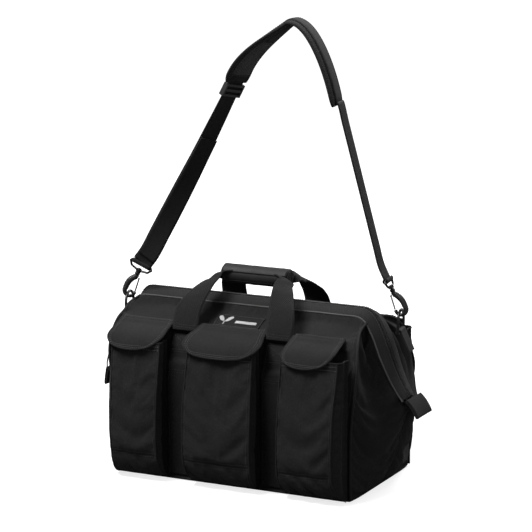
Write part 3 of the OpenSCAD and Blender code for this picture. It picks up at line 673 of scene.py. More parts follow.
def end_sheet(end, side):
    """Half of an end wall: one edge on the corner seam, the other on the rim and the middle line."""
    rows, cols = 84, 44
    corner = SHELL[side].pts[:, 0 if end < 0 else -1]
    corner = spline(resample(corner, 30), rows)
    s0 = S_LEFT if end < 0 else S_RIGHT
    n_top = int(rows * T_TAB)
    s = np.linspace(s0, TAB_S[end], n_top)
    t = np.linspace(0, 1, rows)[:, None]
    w = np.linspace(0, 1, cols)[None, :]
    # the cloth is sewn a little inside the rim's edge, so the edge stands proud of it
    inset = np.sin(np.pi * np.linspace(0, 1, n_top)) ** 0.5
    rim = mouth(s, RIM_DROP + 0.5 + 6 * inset, np.full(n_top, RIM_OUT - 1.0))
    rim[:, 1] *= side
    low = spline([rim[-1], (end * 286, side * 7, 149), (end * 281, 0, 140), (end * 267, 0, 100), (end * 255, 0, 60),
                  (end * 240, 0, 22), (end * 229, 0, 3)], rows - n_top + 1)[1:]
    middle = np.concatenate([rim, low])
    low_share = np.clip((t - T_TAB + 0.12) / 0.3, 0, 1)
    wx = w * (1 - low_share) + np.sin(w * math.pi / 2) * low_share
    pts = np.empty((rows, cols, 3))
    for k, share in ((0, wx), (1, w), (2, w)):
        pts[..., k] = corner[:, None, k] * (1 - share) + middle[:, None, k] * share
    hold = np.clip(w / 0.1, 0, 1) * np.clip((1 - w) / 0.1, 0, 1) * np.clip(t / 0.05, 0, 1) * np.clip((1 - t) / 0.1, 0, 1)
    bell = np.sin(np.pi * w) ** 0.9
    slant = pts[..., 2] * 0.9 + end * side * pts[..., 1] * -0.7
    folds = waves(slant, pts[..., 1] * 0.25, 31 + end + 3 * side, 58.0, 3)
    broad = waves(pts[..., 1], pts[..., 2], 77 + end + 3 * side, 120.0, 2)
    push = 3.4 * folds * np.clip(t / 0.4, 0.25, 1) + 3.0 * broad
    if end * side > 0:
        puff = [0, 8, 17, 15, 8, 7, 9, 6, 0] if end > 0 else [0, 0, 3, 8, 8, 7, 9, 6, 0]
        push += bell * np.interp(t, [0, 0.1, 0.25, 0.42, 0.55, 0.7, 0.82, 0.93, 1], puff)
        fold = 0.20 + 0.9 * t
        push -= 13 * bump(w, fold + 0.10, 0.07, 1.8) * bump(t, 0.22, 0.15)
        push += 6 * bump(w, fold - 0.06, 0.12) * bump(t, 0.24, 0.16)
    else:
        push -= bell * np.interp(t, [0, 0.08, 0.2, 0.36, 0.5, 0.66, 0.8, 1], [0, 6, 13, 17, 12, 2, -5, 0])
        # a deep hollow by the rim's corner, with a crisp fold running down from it to the rim
        fold = 0.30 + 1.55 * np.clip(t - 0.05, 0, 1)
        push -= 32 * bump(w, fold + 0.15, 0.17, 3.2) * bump(t, 0.13, 0.14, 1.2)
        push += 10 * bump(w, fold - 0.04, 0.15) * bump(t, 0.20, 0.17)
        push -= 9 * bump(w, 0.93, 0.12) * bump(t, 0.42, 0.10)
    pts[..., 0] += end * push * hold
    sheet = Sheet(pts, flip=end * side > 0)
    pins = np.zeros((rows, cols), bool)
    pins[0] = pins[-1] = pins[:, 0] = pins[:, -1] = True
    return settle(sheet, pins, 6.0, frames=14, grow=0.04, bend=0.25, gravity=0.6, pressure=0.1)


ENDS = {}
for end in (-1, 1):
    end_name = "left" if end < 0 else "right"
    for side in (FRONT, REAR):
        sheet = ENDS[end, side] = end_sheet(end, side)
        wall = sheet.build("%s_%s_end_wall" % (end_name, SIDE_NAME[side]), "cloth", thick=1.8)
        if side == FRONT:
            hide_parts(end_name + "_gusset")
        elif end > 0:
            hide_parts("gusset_folds")
        blend_rim(wall)

# Hem of cloth sewn under each rim edge, hanging inside the end folds
for side in (FRONT, REAR):
    for end in (-1, 1):
        s = np.linspace(S_LEFT if end < 0 else S_RIGHT, TAB_S[end], 60)
        hang = np.linspace(0, 1, 8)
        under = [mouth(s, np.full(60, RIM_DROP + 0.4 + 22 * h), np.full(60, RIM_OUT + 1.0 - 8 * h * h)) for h in hang]
        under = np.stack(under, axis=0)
        under[..., 1] *= side
        skirt = Sheet(under, flip=end * side > 0)
        skirt.build("%s_%s_rim_skirt" % (SIDE_NAME[side], "left" if end < 0 else "right"), "lining",
                    SIDE_NAME[side] + "_rim", thick=1.2)

# Piping along each corner seam, base to rim
for side in (FRONT, REAR):
    for end in (-1, 1):
        edge = SHELL[side].pts[:, 0 if end < 0 else -1]
        path = resample(edge + vec(end * 1.4, side * 1.2, 0.4), step=5)
        cord = tube("%s_%s_corner_piping" % (SIDE_NAME[side], "left" if end < 0 else "right"), path, 2.3, "binding",
                    slot="binding_tape", sides=10)
        if side == FRONT and end < 0:
            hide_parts("corner_piping")
        blend_rim(cord)
        face, normal = on_sheet(SHELL[side], [0.02, 0.98], [0.022 if end < 0 else 0.978] * 2, 160, 0.2)
        seam = stitches("%s_%s_corner_stitches" % (SIDE_NAME[side], "left" if end < 0 else "right"),
                        [(face, normal)], mat="thread_dark")
        blend_rim(seam)

# ----------------------------------------------------------------- the rims


def rim_sheet(side):
    n = 300
    s = np.linspace(0.012, 0.988, n)
    cross = [(RIM_IN, -0.2), (6.0, 0.4), (10.0, 2.6), (15.0, 4.9), (20.0, 7.3), (25.0, 9.7), (29.0, 11.9),
             (31.3, 13.2), (31.8, 15.4), (30.4, 17.4)]
    crown = [0.0, 0.9, 1.6, 1.9, 1.9, 1.7, 1.2, 0.6, 0.0, 0.0]
    rows = []
    for (across, depth), up in zip(cross, crown):
        p = mouth(s, np.full(n, depth - up), np.full(n, across))
        p[:, 1] *= side
        rows.append(p)
    pts = np.stack(rows, axis=0)
    pts[..., 2] += 0.5 * waves(pts[..., 0], pts[..., 1] * 0, 71 + side, 60.0)[..., :]
    return Sheet(pts, flip=side > 0)


RIMS = {}
for side in (FRONT, REAR):
    name = SIDE_NAME[side]
    body = name + "_rim"
    rim = RIMS[side] = rim_sheet(side)
    band = rim.build(name + "_rim_band", "rim", body, thick=2.2, slot="binding_tape")
    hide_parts(name + "_rim_tape")
    lines = []
    for row in (0.17, 0.74):
        lines.append(on_sheet(rim, [row, row], [0.0, 1.0], 400, 0.25))
    stitches(name + "_rim_stitches", lines, body)
    ridge, normal = on_sheet(rim, [0.80, 0.80], [0.0, 1.0], 320, 0.3)
    tube(name + "_rim_piping", ridge, 1.3, "thread", body, "binding_tape", sides=8)
    # zipper: woven tape and a row of moulded teeth
    s = np.linspace(0.03, 0.985, 260)
    tape = np.stack([mouth(s, np.full(260, d), np.full(260, a)) for a, d in ((0.8, 0.9), (3.0, 0.7), (6.2, 0.3))])
    tape[..., 1] *= side
    Sheet(tape, flip=side > 0).build(name + "_zipper_tape", "tape", body, thick=0.8)
    count = int(lengths(ZIP)[-1] / 2.6)
    s = (np.arange(count) + (0.25 if side > 0 else 0.75)) / count * 0.955 + 0.03
    tooth = []
    mid = mouth(s, np.full(count, -0.6), np.full(count, 1.9))
    mid[:, 1] *= side
    up = np.stack([-np.interp(s, np.linspace(0, 1, len(ZIP)), ZIP_IN[:, 0]), np.zeros(count),
                   -np.interp(s, np.linspace(0, 1, len(ZIP)), ZIP_IN[:, 1])], axis=1)
    for m, n in zip(mid, up):
        tooth.append((np.array([m - vec(0, 2.0, 0), m + vec(0, 2.0, 0)]), n))
    teeth = stitches(name + "_zipper_teeth", tooth, body, mat="coil", length=4.4, pitch=3.5, half=0.95, rise=1.3)
    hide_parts(name + "_zipper_half")

# --------------------------------------------------------------- pockets

POCKET_TOP = 250.0
POCKET_DEPTH = [(250, 30), (236, 31.5), (205, 37), (160, 44), (115, 48), (80, 48.5), (58, 47), (50, 45.5),
                (42, 44), (28, 37), (14, 24), (5, 9), (2, 4)]
OUTER_X = 225.0
DRAG = (1.3, 1.5, 3.4)


def pocket_span(side, k):
    left, right = STRIPS[side]
    half = STRIP_W / 2 + 1.5
    return ((-OUTER_X, left - half), (left + half, right - half), (right + half, OUTER_X))[k]


def pocket_sheet(side, k):
    """Pocket in one grid: wall, folded bellows, front face, folded bellows, wall."""
    x0, x1 = pocket_span(side, k)
    rows, fold_cols, face_cols = 56, 9, 44
    depth_keys = np.array(POCKET_DEPTH, dtype=float)
    z = np.interp(np.linspace(0, 1, rows), np.linspace(0, 1, len(depth_keys)), depth_keys[:, 0])
    z = resample(np.stack([np.interp(z, depth_keys[::-1, 0], depth_keys[::-1, 1]), z], axis=1), rows)
    deep, high = z[:, 0], z[:, 1]
    taper = [12.0 if k == 0 else 0.0, 12.0 if k == 2 else 0.0]
    section = []
    for d, h in zip(deep, high):
        full = np.clip(d / 45, 0.1, 1.0)
        flare = np.interp(h, [0, 50, 150, 250], [4, 0, 0, 3])
        a, b = x0 + flare * (k == 1), x1 - flare * (k == 1)
        wall_y = HALF_W + 0.8
        left = [(a + 1, wall_y), (a + 8 * full, wall_y + 0.30 * d), (a - 3 * full + taper[0] * 0.3, wall_y + 0.62 * d),
                (a + taper[0] * full, wall_y + d)]
        right = [(b - 1, wall_y), (b - 8 * full, wall_y + 0.30 * d), (b + 3 * full - taper[1] * 0.3, wall_y + 0.62 * d),
                 (b - taper[1] * full, wall_y + d)]
        t = np.linspace(0, 1, face_cols)[1:-1]
        fx = left[-1][0] * (1 - t) + right[-1][0] * t
        crown = 3.2 * full * np.sin(np.pi * t) ** 0.8
        face = np.stack([fx, np.full(len(t), wall_y + d) + crown], axis=1)
        row = np.concatenate([resample(left, fold_cols), face, resample(right[::-1], fold_cols)])
        section.append(np.concatenate([row, np.full((len(row), 1), h)], axis=1))
    pts = np.array(section)
    cols = pts.shape[1]
    v = np.linspace(0, 1, cols)[None, :]
    u = np.linspace(0, 1, rows)[:, None]
    face_lo, face_hi = fold_cols - 1, fold_cols + face_cols - 2
    seed = 7 * k + side + 100
    on_face = np.zeros(cols)
    on_face[face_lo:face_hi + 1] = np.sin(np.pi * np.linspace(0, 1, face_cols)) ** 0.5
    x, h = pts[..., 0], pts[..., 2]
    long_waves = waves(x, h * 0.45, seed, 62.0, 3)
    tuck = np.clip((52 - h) / 30, 0, 1)
    slant = waves(x + h * 0.9, h * 0.3, seed + 5, 30.0, 2)
    drag = waves((x + h) * 0.8, (x - h) * 0.16, seed + 7, 46.0, 2)
    pts[..., 1] += on_face[None, :] * ((1.6 * long_waves + DRAG[k] * drag) * (1 - tuck) + 5.5 * slant * tuck * np.clip(h / 16, 0, 1))
    pts[..., 0] += 1.6 * waves(h * 1.4, x * 0.2, seed + 9, 45.0, 2) * np.sin(np.pi * v) * np.clip(u * 5, 0, 1)
    seam = np.exp(-((h - 52) / 5.0) ** 2)
    pts[..., 1] -= 3.0 * seam * on_face[None, :]
    pts[..., 1] *= side
    sheet = Sheet(pts, flip=side > 0)
    pins = np.zeros((rows, cols), bool)
    pins[-2:] = pins[:, 0] = pins[:, -1] = True
    pins[0] = True
    pins[:, face_lo] = pins[:, face_hi] = True
    hem = int(np.argmin(np.abs(high - 52)))
    pins[hem, ::2] = True
    settle(sheet, pins, 2.5, frames=10, grow=0.015, bend=0.3, gravity=0.1, pressure=0.1)
    sheet.face = (face_lo / (cols - 1), face_hi / (cols - 1))
    sheet.hem = hem / (rows - 1)
    sheet.cols = cols
    return sheet


POCKET_NAMES = ("left", "middle", "right")
for side in (FRONT, REAR):
    lines, dark, edges = [], [], []
    for k, which in enumerate(POCKET_NAMES):
        sheet = pocket_sheet(side, k)
        name = "%s_%s_pocket" % (SIDE_NAME[side], which)
        piece = sheet.build(name + "_cloth", "cloth", "bag", thick=1.6)
        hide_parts(name)
        lo, hi = sheet.face
        inner = 0.5 / sheet.cols
        for row in (0.022, 0.046):
            lines.append(on_sheet(sheet, [row, row], [lo + inner, hi - inner], 80, 0.25))
        for row in (sheet.hem - 0.012, sheet.hem + 0.012):
            dark.append(on_sheet(sheet, [row, row], [lo + inner, hi - inner], 80, 0.25))
        for v in (lo + 1.6 / sheet.cols, hi - 1.6 / sheet.cols):
            dark.append(on_sheet(sheet, [0.03, 0.97], [v, v], 120, 0.25))
        for v in (lo, hi):
            run, normal = on_sheet(sheet, [0.0, 0.98], [v, v], 120, 0.0)
            edges.append((name + ("_left" if v == lo else "_right") + "_edge", run + normal * 0.2))
        rim = np.array([sheet.at(0.0, v) for v in np.linspace(0, 1, 140)]) + vec(0, 0, 0.6)
        edges.append((name + "_mouth_binding", rim))
        # pile patch under the mouth, mate of the one inside the flap
        us, vs = np.linspace(0.008, 0.040, 5), np.linspace(0.5 - 30 / (sheet.cols * 4.2), 0.5 + 30 / (sheet.cols * 4.2), 24)
        grid = sheet.at(us[:, None] + vs[None] * 0, vs[None] + us[:, None] * 0)
        grid = grid + sheet.normal(us[:, None] + vs[None] * 0, vs[None] + us[:, None] * 0) * 1.6
        pile = Sheet(grid, flip=side > 0).build(name + "_loop_pile", "loop", "bag", thick=1.4, slot="hook_loop")
        if side == FRONT and k == 0:
            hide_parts("pocket_loop_patches")
    for edge_name, run in edges:
        tube(edge_name, run, 1.25, "binding", "bag", "binding_tape", sides=8)
    stitches(SIDE_NAME[side] + "_pocket_hem_stitches", lines, "bag")
    stitches(SIDE_NAME[side] + "_pocket_seam_stitches", dark, "bag", mat="thread_dark")

# ------------------------------------------------- webbing strips on the walls
for side in (FRONT, REAR):
    lines = []
    for n, x in enumerate(STRIPS[side]):
        u0, u1 = shell_u(side, 107.0), 0.985
        rows, cols = 90, 13
        us = np.linspace(u0, u1, rows)
        xs = np.linspace(x - STRIP_W / 2, x + STRIP_W / 2, cols)
        vs = np.array([[shell_v(side, xx, u) for xx in (xs[0], xs[-1])] for u in us])
        grid_v = vs[:, :1] + (vs[:, 1:] - vs[:, :1]) * np.linspace(0, 1, cols)[None]
        grid_u = us[:, None] + grid_v * 0
        flat = SHELL[side].at(grid_u, grid_v)
        mean = flat.mean(axis=1, keepdims=True)
        flat[..., 1:] = flat[..., 1:] * 0.45 + mean[..., 1:] * 0.55
        flat[..., 0] = xs[None]
        pts = flat + unit(SHELL[side].normal(grid_u, grid_v).mean(axis=1, keepdims=True)) * 2.6
        strip = Sheet(pts, flip=side > 0)
        name = "%s_%s_webbing_strip" % (SIDE_NAME[side], "left" if n == 0 else "right")
        piece = strip.build(name, "webbing", "bag", thick=2.2, slot="twill_webbing")
        if side == FRONT and n == 0:
            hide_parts("pocket_strips")
        for v in (0.07, 0.93):
            lines.append(on_sheet(strip, [0.01, 0.99], [v, v], 160, 0.2))
        for row in (0.02, 0.115, 0.13, 0.26, 0.275):
            lines.append(on_sheet(strip, [row, row], [0.08, 0.92], 40, 0.2))
        for a, b in ((0.08, 0.92), (0.92, 0.08)):
            lines.append(on_sheet(strip, [0.02, 0.115], [a, b], 50, 0.25))
    stitches(SIDE_NAME[side] + "_strip_stitches", lines, "bag", mat="thread_dark")

# ----------------------------------------------------------------- flaps

# Out from the middle and height from the seam to the free edge, and the extra half width
FLAP_ROWS = [(99, 279.2, 0), (103, 281.0, 0), (112, 279.5, 0.5), (122, 275.0, 2), (134, 271.0, 5), (148, 265.5, 8),
             (159, 259.0, 9), (167, 250.5, 8), (172.5, 239.5, 3)]
CORNERS = (26.0, 38.0)


def flap_span(side, k):
    x0, x1 = pocket_span(side, k)
    if k == 1:
        return x0 + 1, x1 - 1
    return (x0 - 0.5, x1) if k == 0 else (x0, x1 - 20)


def flap_sheet(side, k):
    x0, x1 = flap_span(side, k)
    rows, cols = 34, 50
    keys = np.array(FLAP_ROWS, dtype=float)
    line = spline(keys, rows)
    v = np.linspace(0, 1, cols)[None, :]
    u = np.linspace(0, 1, rows)[:, None]
    spread = line[:, 2:3] * (1.0 if k == 1 else 0.0)
    lo, hi = x0 - spread, x1 + spread
    if k == 0:
        lo, hi = lo - 2 * u, hi + 2 * u - 6 * np.clip(u - 0.7, 0, 1)
    if k == 2:
        lo, hi = lo - 1 * u, hi + 3 * u
    # round the two free corners
    depth = lengths(line[:, :2])
    for_end = []
    for corner in CORNERS:
        left_over = np.clip(depth[:, None] - (depth[-1] - corner), 0, corner * 0.985)
        for_end.append(corner - np.sqrt(np.maximum(corner ** 2 - left_over ** 2, 0)))
    lo, hi = lo + for_end[0], hi - for_end[1]
    pts = np.empty((rows, cols, 3))
    pts[..., 0] = lo * (1 - v) + hi * v
    pts[..., 1] = line[:, 0:1] + 0 * v
    pts[..., 2] = line[:, 1:2] + 0 * v
    seed = 50 + 9 * k + side
    droop = np.abs(2 * v - 1) ** 2.2
    free = np.clip((u - 0.12) / 0.5, 0, 1)
    pts[..., 2] += 1.5 * droop * free
    pts[..., 1] -= 2.5 * droop * free
    bumps = waves(pts[..., 0], pts[..., 1] * 0.7, seed, 75.0, 3)
    pts[..., 2] += 1.6 * bumps * np.sin(np.pi * np.clip(u * 0.9 + 0.05, 0, 1)) * free
    pts[..., 1] += 0.9 * bumps * free
    pts[..., 1] *= side
    sheet = Sheet(pts, flip=side > 0)
    pins = np.zeros((rows, cols), bool)
    pins[:3] = True
    settle(sheet, pins, 2.0, frames=8, grow=0.02, bend=1.0, gravity=0.5)
    return sheet


for side in (FRONT, REAR):
    for k, which in enumerate(POCKET_NAMES):
        name = "%s_%s_flap" % (SIDE_NAME[side], which)
        sheet = flap_sheet(side, k)
        # the flap cloth's lighter tone is painted highlight from the top light, not a different fabric
        piece = sheet.build(name + "_cloth", "flap", name, thick=2.4)
        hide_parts(name)
        us = [0.05] + list(np.linspace(0.1, 1, 12)) + [1.0] * 20 + list(np.linspace(1, 0.1, 12)) + [0.05]
        vs = [0.0] + [0.0] * 12 + list(np.linspace(0, 1, 20)) + [1.0] * 12 + [1.0]
        rim, normal = on_sheet(sheet, us, vs, 260, 0.0)
        rim = rim - normal * 1.2
        tube(name + "_binding", smooth_path(rim, 240, 2), 1.9, "binding", name, "binding_tape", sides=10)
        lines = []
        for inset in (0.032, 0.062):
            a, b = inset, 1 - inset
            iu = 1 - inset * 1.25
            us = [0.06, iu - 0.06, iu] + [iu] * 8 + [iu, iu - 0.06, 0.06]
            vs = [a, a, a + 0.02] + list(np.linspace(a + 0.03, b - 0.03, 8)) + [b - 0.02, b, b]
            lines.append(on_sheet(sheet, us, vs, 200, 0.25))
        for row in (0.045, 0.085):
            lines.append(on_sheet(sheet, [row, row], [0.02, 0.98], 90, 0.25))
        stitches(name + "_stitches", lines, name)
        us, vs = np.linspace(0.80, 0.97, 8), np.linspace(0.5, 0.5, 24)
        half = 30 / np.linalg.norm(sheet.at(0.9, 1.0) - sheet.at(0.9, 0.0))
        vs = np.linspace(0.5 - half, 0.5 + half, 24)
        gu, gv = us[:, None] + vs[None] * 0, vs[None] + us[:, None] * 0
        grid = sheet.at(gu, gv) - sheet.normal(gu, gv) * 2.6
        pile = Sheet(grid, flip=side < 0).build(name + "_hook_pile", "loop", name, thick=1.3, slot="hook_loop")
        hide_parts("%s_%s_hook_patch" % (SIDE_NAME[side], which))

# ---------------------------------------------------------- label patch
LABEL_X, LABEL_W, LABEL_IN, LABEL_OUT = -12.0, 89.0, 54.5, 88.5


def label_grid(u, v, lift):
    """Points on the label, u from rim to flap and v from left to right."""
    rows = np.interp(u, [0, 1], [shell_u(FRONT, LABEL_IN), shell_u(FRONT, LABEL_OUT)])
    x = LABEL_X + (v - 0.5) * LABEL_W
    table_u = np.linspace(0, 0.3, 24)
    edge = np.array([[shell_v(FRONT, xx, uu) for uu in table_u] for xx in (LABEL_X - 60, LABEL_X + 60)])
    lo = np.interp(rows, table_u, edge[0])
    hi = np.interp(rows, table_u, edge[1])
    cols = lo + (hi - lo) * (x - (LABEL_X - 60)) / 120
    return SHELL[FRONT].at(rows, cols) + SHELL[FRONT].normal(rows, cols) * lift


def label_piece(name, us, vs, lift, mat, thick):
    gu, gv = np.meshgrid(us, vs, indexing="ij")
    piece = Sheet(label_grid(gu, gv, lift)).build(name, mat, thick=thick, slot="label_cloth")
    blend_rim(piece)
    return piece


ground = label_piece("label_ground", np.linspace(0, 1, 22), np.linspace(0, 1, 46), 1.6, "label", 1.2)
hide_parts("label_patch")
t = np.linspace(0, 1, 30)
frame_u = np.concatenate([t * 0 + 0.035, t, t * 0 + 0.965, 1 - t]) * 0.97 + 0.015
frame_v = np.concatenate([t, t * 0 + 0.985, 1 - t, t * 0 + 0.015])
edge = label_grid(np.clip(frame_u, 0.03, 0.97), frame_v, 1.9)
border = stitches("label_border_stitches", [(edge, SHELL[FRONT].normal(0.08, 0.5))], length=3.0, pitch=3.6)
blend_rim(border)


def emblem_strip(name, centre, half_width):
    """Flat woven shape: a run of (u, v) centres with a half width along u at each."""
    centre, half_width = np.asarray(centre, dtype=float), np.asarray(half_width, dtype=float)
    k = np.linspace(-1, 1, 7)
    gu = centre[:, 0][None] + k[:, None] * half_width[None]
    gv = centre[:, 1][None] + k[:, None] * 0
    piece = Sheet(label_grid(gu, gv, 2.0)).build(name, "emblem", thick=0.5, slot="label_cloth")
    blend_rim(piece)


# plain sprout and plain bar
t = np.linspace(0, 1, 26)
SPROUT = 0.20
for name, way in (("label_leaf_left", -1), ("label_leaf_right", 1)):
    emblem_strip(name, np.stack([0.54 - 0.34 * t ** 0.7, SPROUT + way * (0.008 + 0.145 * t)], axis=1),
                 0.01 + 0.16 * np.sin(np.pi * t) ** 0.8)
emblem_strip("label_stem", np.stack([0.66 + 0 * t, SPROUT - 0.009 + 0.018 * t], axis=1), 0.16 + 0 * t)
emblem_strip("label_bar", np.stack([0.55 + 0 * t, 0.44 + 0.46 * t], axis=1), 0.10 + 0 * t)

# ---------------------------------------------------------------- handles

GRIP_X, GRIP_Z, GRIP_L, GRIP_R = -11.0, 352.0, 128.0, 16.0


def handle_leg(side, foot, end):
    """Webbing from the shoulder, up and over, folding into the grip; end is -1 left, 1 right."""
    gx = GRIP_X + end * (GRIP_L / 2)
    path = [(foot, 114.5, 268), (foot, 112.5, 276), (foot, 108, 290), (foot + 0.05 * (gx - foot), 101, 305),
            (foot + 0.25 * (gx - foot), 86, 322), (foot + 0.52 * (gx - foot), 64, 337.5),
            (foot + 0.78 * (gx - foot), 42, 348.5), (gx + end * 5, 24, 354.5), (gx - end * 6, 12, 355),
            (gx - end * 22, 8.5, 352)]
    across = [(1, 0, 0), (1, 0, 0), (1, 0, 0.02), (1, 0, 0.02), (1, 0.03, 0.05), (1, 0.2, 0.12), (1, 0.5, 0.2),
              (0.75, 0.8, 0.3), (0.1, 0.9, 0.9), (0, 0.1, 1)]
    width = [50, 50, 50, 48, 44, 39, 33, 28, 24, 20]
    n = 84
    path, across = np.array(path, dtype=float), np.array(across, dtype=float)
    across[:, 1:] *= -end * vec(1, 1) if end > 0 else vec(1, 1)
    line = spline(path, n)
    run = lengths(path)
    at = lengths(line) / lengths(line)[-1] * run[-1]
    way = np.stack([np.interp(at, run, across[:, k]) for k in range(3)], axis=1)
    wide = np.interp(at, run, width)
    line[:, 1] *= side
    way[:, 1] *= side
    tang = unit(np.gradient(line, axis=0))
    way = unit(way - tang * np.sum(way * tang, axis=1, keepdims=True))
    sheet = ribbon_sheet(line, way, wide, cols=11)
    v = np.linspace(-1, 1, 11)[None, :]
    face = unit(np.cross(tang, way))
    t = np.linspace(0, 1, n)
    fold = np.clip((t - 0.62) / 0.25, 0, 1)
    curl = 2.2 * np.sin(np.pi * np.clip(t / 0.7, 0, 1))[:, None] * (v ** 2) + 5.0 * fold[:, None] * np.abs(v) ** 1.5
    sign = np.sign(face[n // 3, 2]) or 1.0
    sheet.pts -= face[:, None, :] * sign * curl[..., None]
    sheet.pts += face[:, None, :] * (0.35 * waves(t[:, None] * 180, v * 25, 5 + end + side, 40.0))[..., None]
    sheet.flip = sign < 0
    return sheet


def grip_half(side):
    n, m = 60, 26
    x = np.linspace(-1, 1, n)
    a = np.linspace(-0.5, 0.5, m) * math.pi * 1.02
    end_round = np.clip((1 - np.abs(x)) / 0.035, 0, 1) ** 0.5
    r = GRIP_R * (0.93 + 0.07 * end_round)[:, None] + 0.35 * waves(x[:, None] * 64, a[None] * 12, 41 + side, 24.0)
    pts = np.empty((n, m, 3))
    pts[..., 0] = GRIP_X + x[:, None] * GRIP_L / 2
    pts[..., 1] = side * (r * np.cos(a)[None] * 0.96 + 0.7)
    pts[..., 2] = GRIP_Z + r * np.sin(a)[None]
    return Sheet(pts, flip=side > 0)


for side in (FRONT, REAR):
    name = SIDE_NAME[side]
    body = name + "_handle"
    legs = []
    for end, foot in zip((-1, 1), STRIPS[side]):
        leg = handle_leg(side, foot, end)
        which = "left" if end < 0 else "right"
        piece = leg.build("%s_%s_handle_leg" % (name, which), "webbing", body, thick=2.4, slot="twill_webbing",
                          offset=0.0)
        if end < 0:
            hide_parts(name + "_handle_webbing")
        for v in (0.07, 0.93):
            legs.append(on_sheet(leg, [0.12, 0.86], [v, v], 120, 1.35))
        for u in (0.03, 0.055):
            legs.append(on_sheet(leg, [u, u], [0.08, 0.92], 30, 1.35))
    stitches(name + "_handle_stitches", legs, body, mat="thread_dark")
    grip = grip_half(side)
    half = grip.build(name + "_grip_half", "grip", body, thick=3.0, slot="pad_cloth")
    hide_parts(name + "_grip_pad")
    lines = [on_sheet(grip, [0.02, 0.98], [v, v], 120, 0.3) for v in ((0.30, 0.72) if side < 0 else (0.28, 0.70))]
    for u in (0.025, 0.975):
        lines.append(on_sheet(grip, [u, u], [0.05, 0.95], 40, 0.3))
    stitches(name + "_grip_stitches", lines, body, mat="thread_dark")
    # closing flap of the wrap: a second layer over the upper part of the grip
    if side == FRONT:
        us, vs = np.linspace(0.015, 0.985, 60), np.linspace(0.62, 0.99, 12)
    else:
        us, vs = np.linspace(0.015, 0.985, 60), np.linspace(0.01, 0.99, 18)
    gu, gv = us[:, None] + vs[None] * 0, vs[None] + us[:, None] * 0
    layer = grip.at(gu, gv) + grip.normal(gu, gv) * 1.5
    Sheet(layer, flip=side > 0).build(name + "_grip_wrap", "grip", body, thick=1.4, slot="pad_cloth")
    ends = []
    for end in (-1, 1):
        # folded webbing core showing at the grip's ends
        x = GRIP_X + end * (GRIP_L / 2 + 0.5)
        a = np.linspace(-0.5, 0.5, 20) * math.pi
        disc = np.array([[(x, side * (0.9 + k * 13.2 * math.cos(t)), GRIP_Z + k * 13.6 * math.sin(t)) for t in a]
                         for k in np.linspace(0.05, 1, 6)])
        disc[..., 0] += end * 0.5 * (1 - np.linspace(0.05, 1, 6)[:, None] ** 2)
        Sheet(disc, flip=(end * side > 0)).build("%s_grip_%s_end" % (name, "left" if end < 0 else "right"), "pad",
                                                 body, thick=1.2, slot="pad_cloth")

# --------------------------------------------------------- shoulder strap

TURN = math.radians(8.0)
RING_REACH, BAR_Z, RING_R, HOOK_LEAN, HOOK_EYE, RING_BAR = 252.5, 271.0, 19.0, math.radians(25.0), 43.0, 57.0
RING_MID = BAR_Z + RING_R


def strap_plane(pts):
    """From (along the strap's plane, across it, height) to the bag's frame."""
    pts = np.asarray(pts, dtype=float)
    x = pts[..., 0] * math.cos(TURN) - pts[..., 1] * math.sin(TURN)
    y = pts[..., 0] * math.sin(TURN) + pts[..., 1] * math.cos(TURN)
    return np.stack([x, y, pts[..., 2]], axis=-1)


def hook_point(end, up, out):
    """Point of a hook in the strap's plane: distance up its shank and out from it."""
    return (end * (RING_REACH - up * math.sin(HOOK_LEAN) + out * math.cos(HOOK_LEAN)),
            RING_MID + RING_R + up * math.cos(HOOK_LEAN) + out * math.sin(HOOK_LEAN))


def strap_twist(x):
    return np.radians(np.interp(x, [-232, -120, -50, 60], [0, 50, 68, 90]))


PAD_LEFT, PAD_RIGHT = (-49, 696), (134, 664)
LEFT_WEB = [hook_point(-1, RING_BAR + 2.0, 0)] + bezier((-212, 384), (-160, 480), (-104, 588), (-62, 672), 8).tolist()
RIGHT_WEB = [hook_point(1, RING_BAR + 2.0, 0)] + bezier((216, 388), (196, 462), (166, 575), (141, 668), 8).tolist()
PAD_LINE = np.concatenate([bezier(PAD_LEFT, (-34, 746), (18, 775), (52, 803), 20),
                           bezier((52, 803), (82, 812), (118, 740), PAD_RIGHT, 20)[1:]])


def strap_sheet(line, width, lift=0.0, n=120, cols=9, crown=0.0, curl=0.0):
    """Twisted band over a line of (along, height); lift moves it off the middle layer."""
    line = spline(line, n)
    tang = unit(np.gradient(line, axis=0))
    turn = strap_twist(line[:, 0])
    t3 = np.stack([tang[:, 0], np.zeros(n), tang[:, 1]], axis=1)
    flat = np.stack([tang[:, 1], np.zeros(n), -tang[:, 0]], axis=1)
    across = flat * np.cos(turn)[:, None] + vec(0, 1, 0) * np.sin(turn)[:, None]
    face = unit(np.cross(t3, across))
    v = np.linspace(-1, 1, cols)
    half = np.broadcast_to(np.asarray(width, dtype=float) / 2, (n,))
    mid = np.stack([line[:, 0], np.zeros(n), line[:, 1]], axis=1)
    shape = lift + crown * (1 - v ** 2)[None, :] - curl * (v ** 2)[None, :] + np.zeros((n, cols))
    pts = mid[:, None] + across[:, None] * (v[None, :] * half[:, None])[..., None] + face[:, None] * shape[..., None]
    return Sheet(strap_plane(pts))


def band(name, line, width, lift, mat="strap", thick=2.0, slot="twill_webbing", body="strap", **more):
    sheet = strap_sheet(line, width, lift, **more)
    return sheet, sheet.build(name, mat, body, thick=thick, slot=slot, offset=0.0)


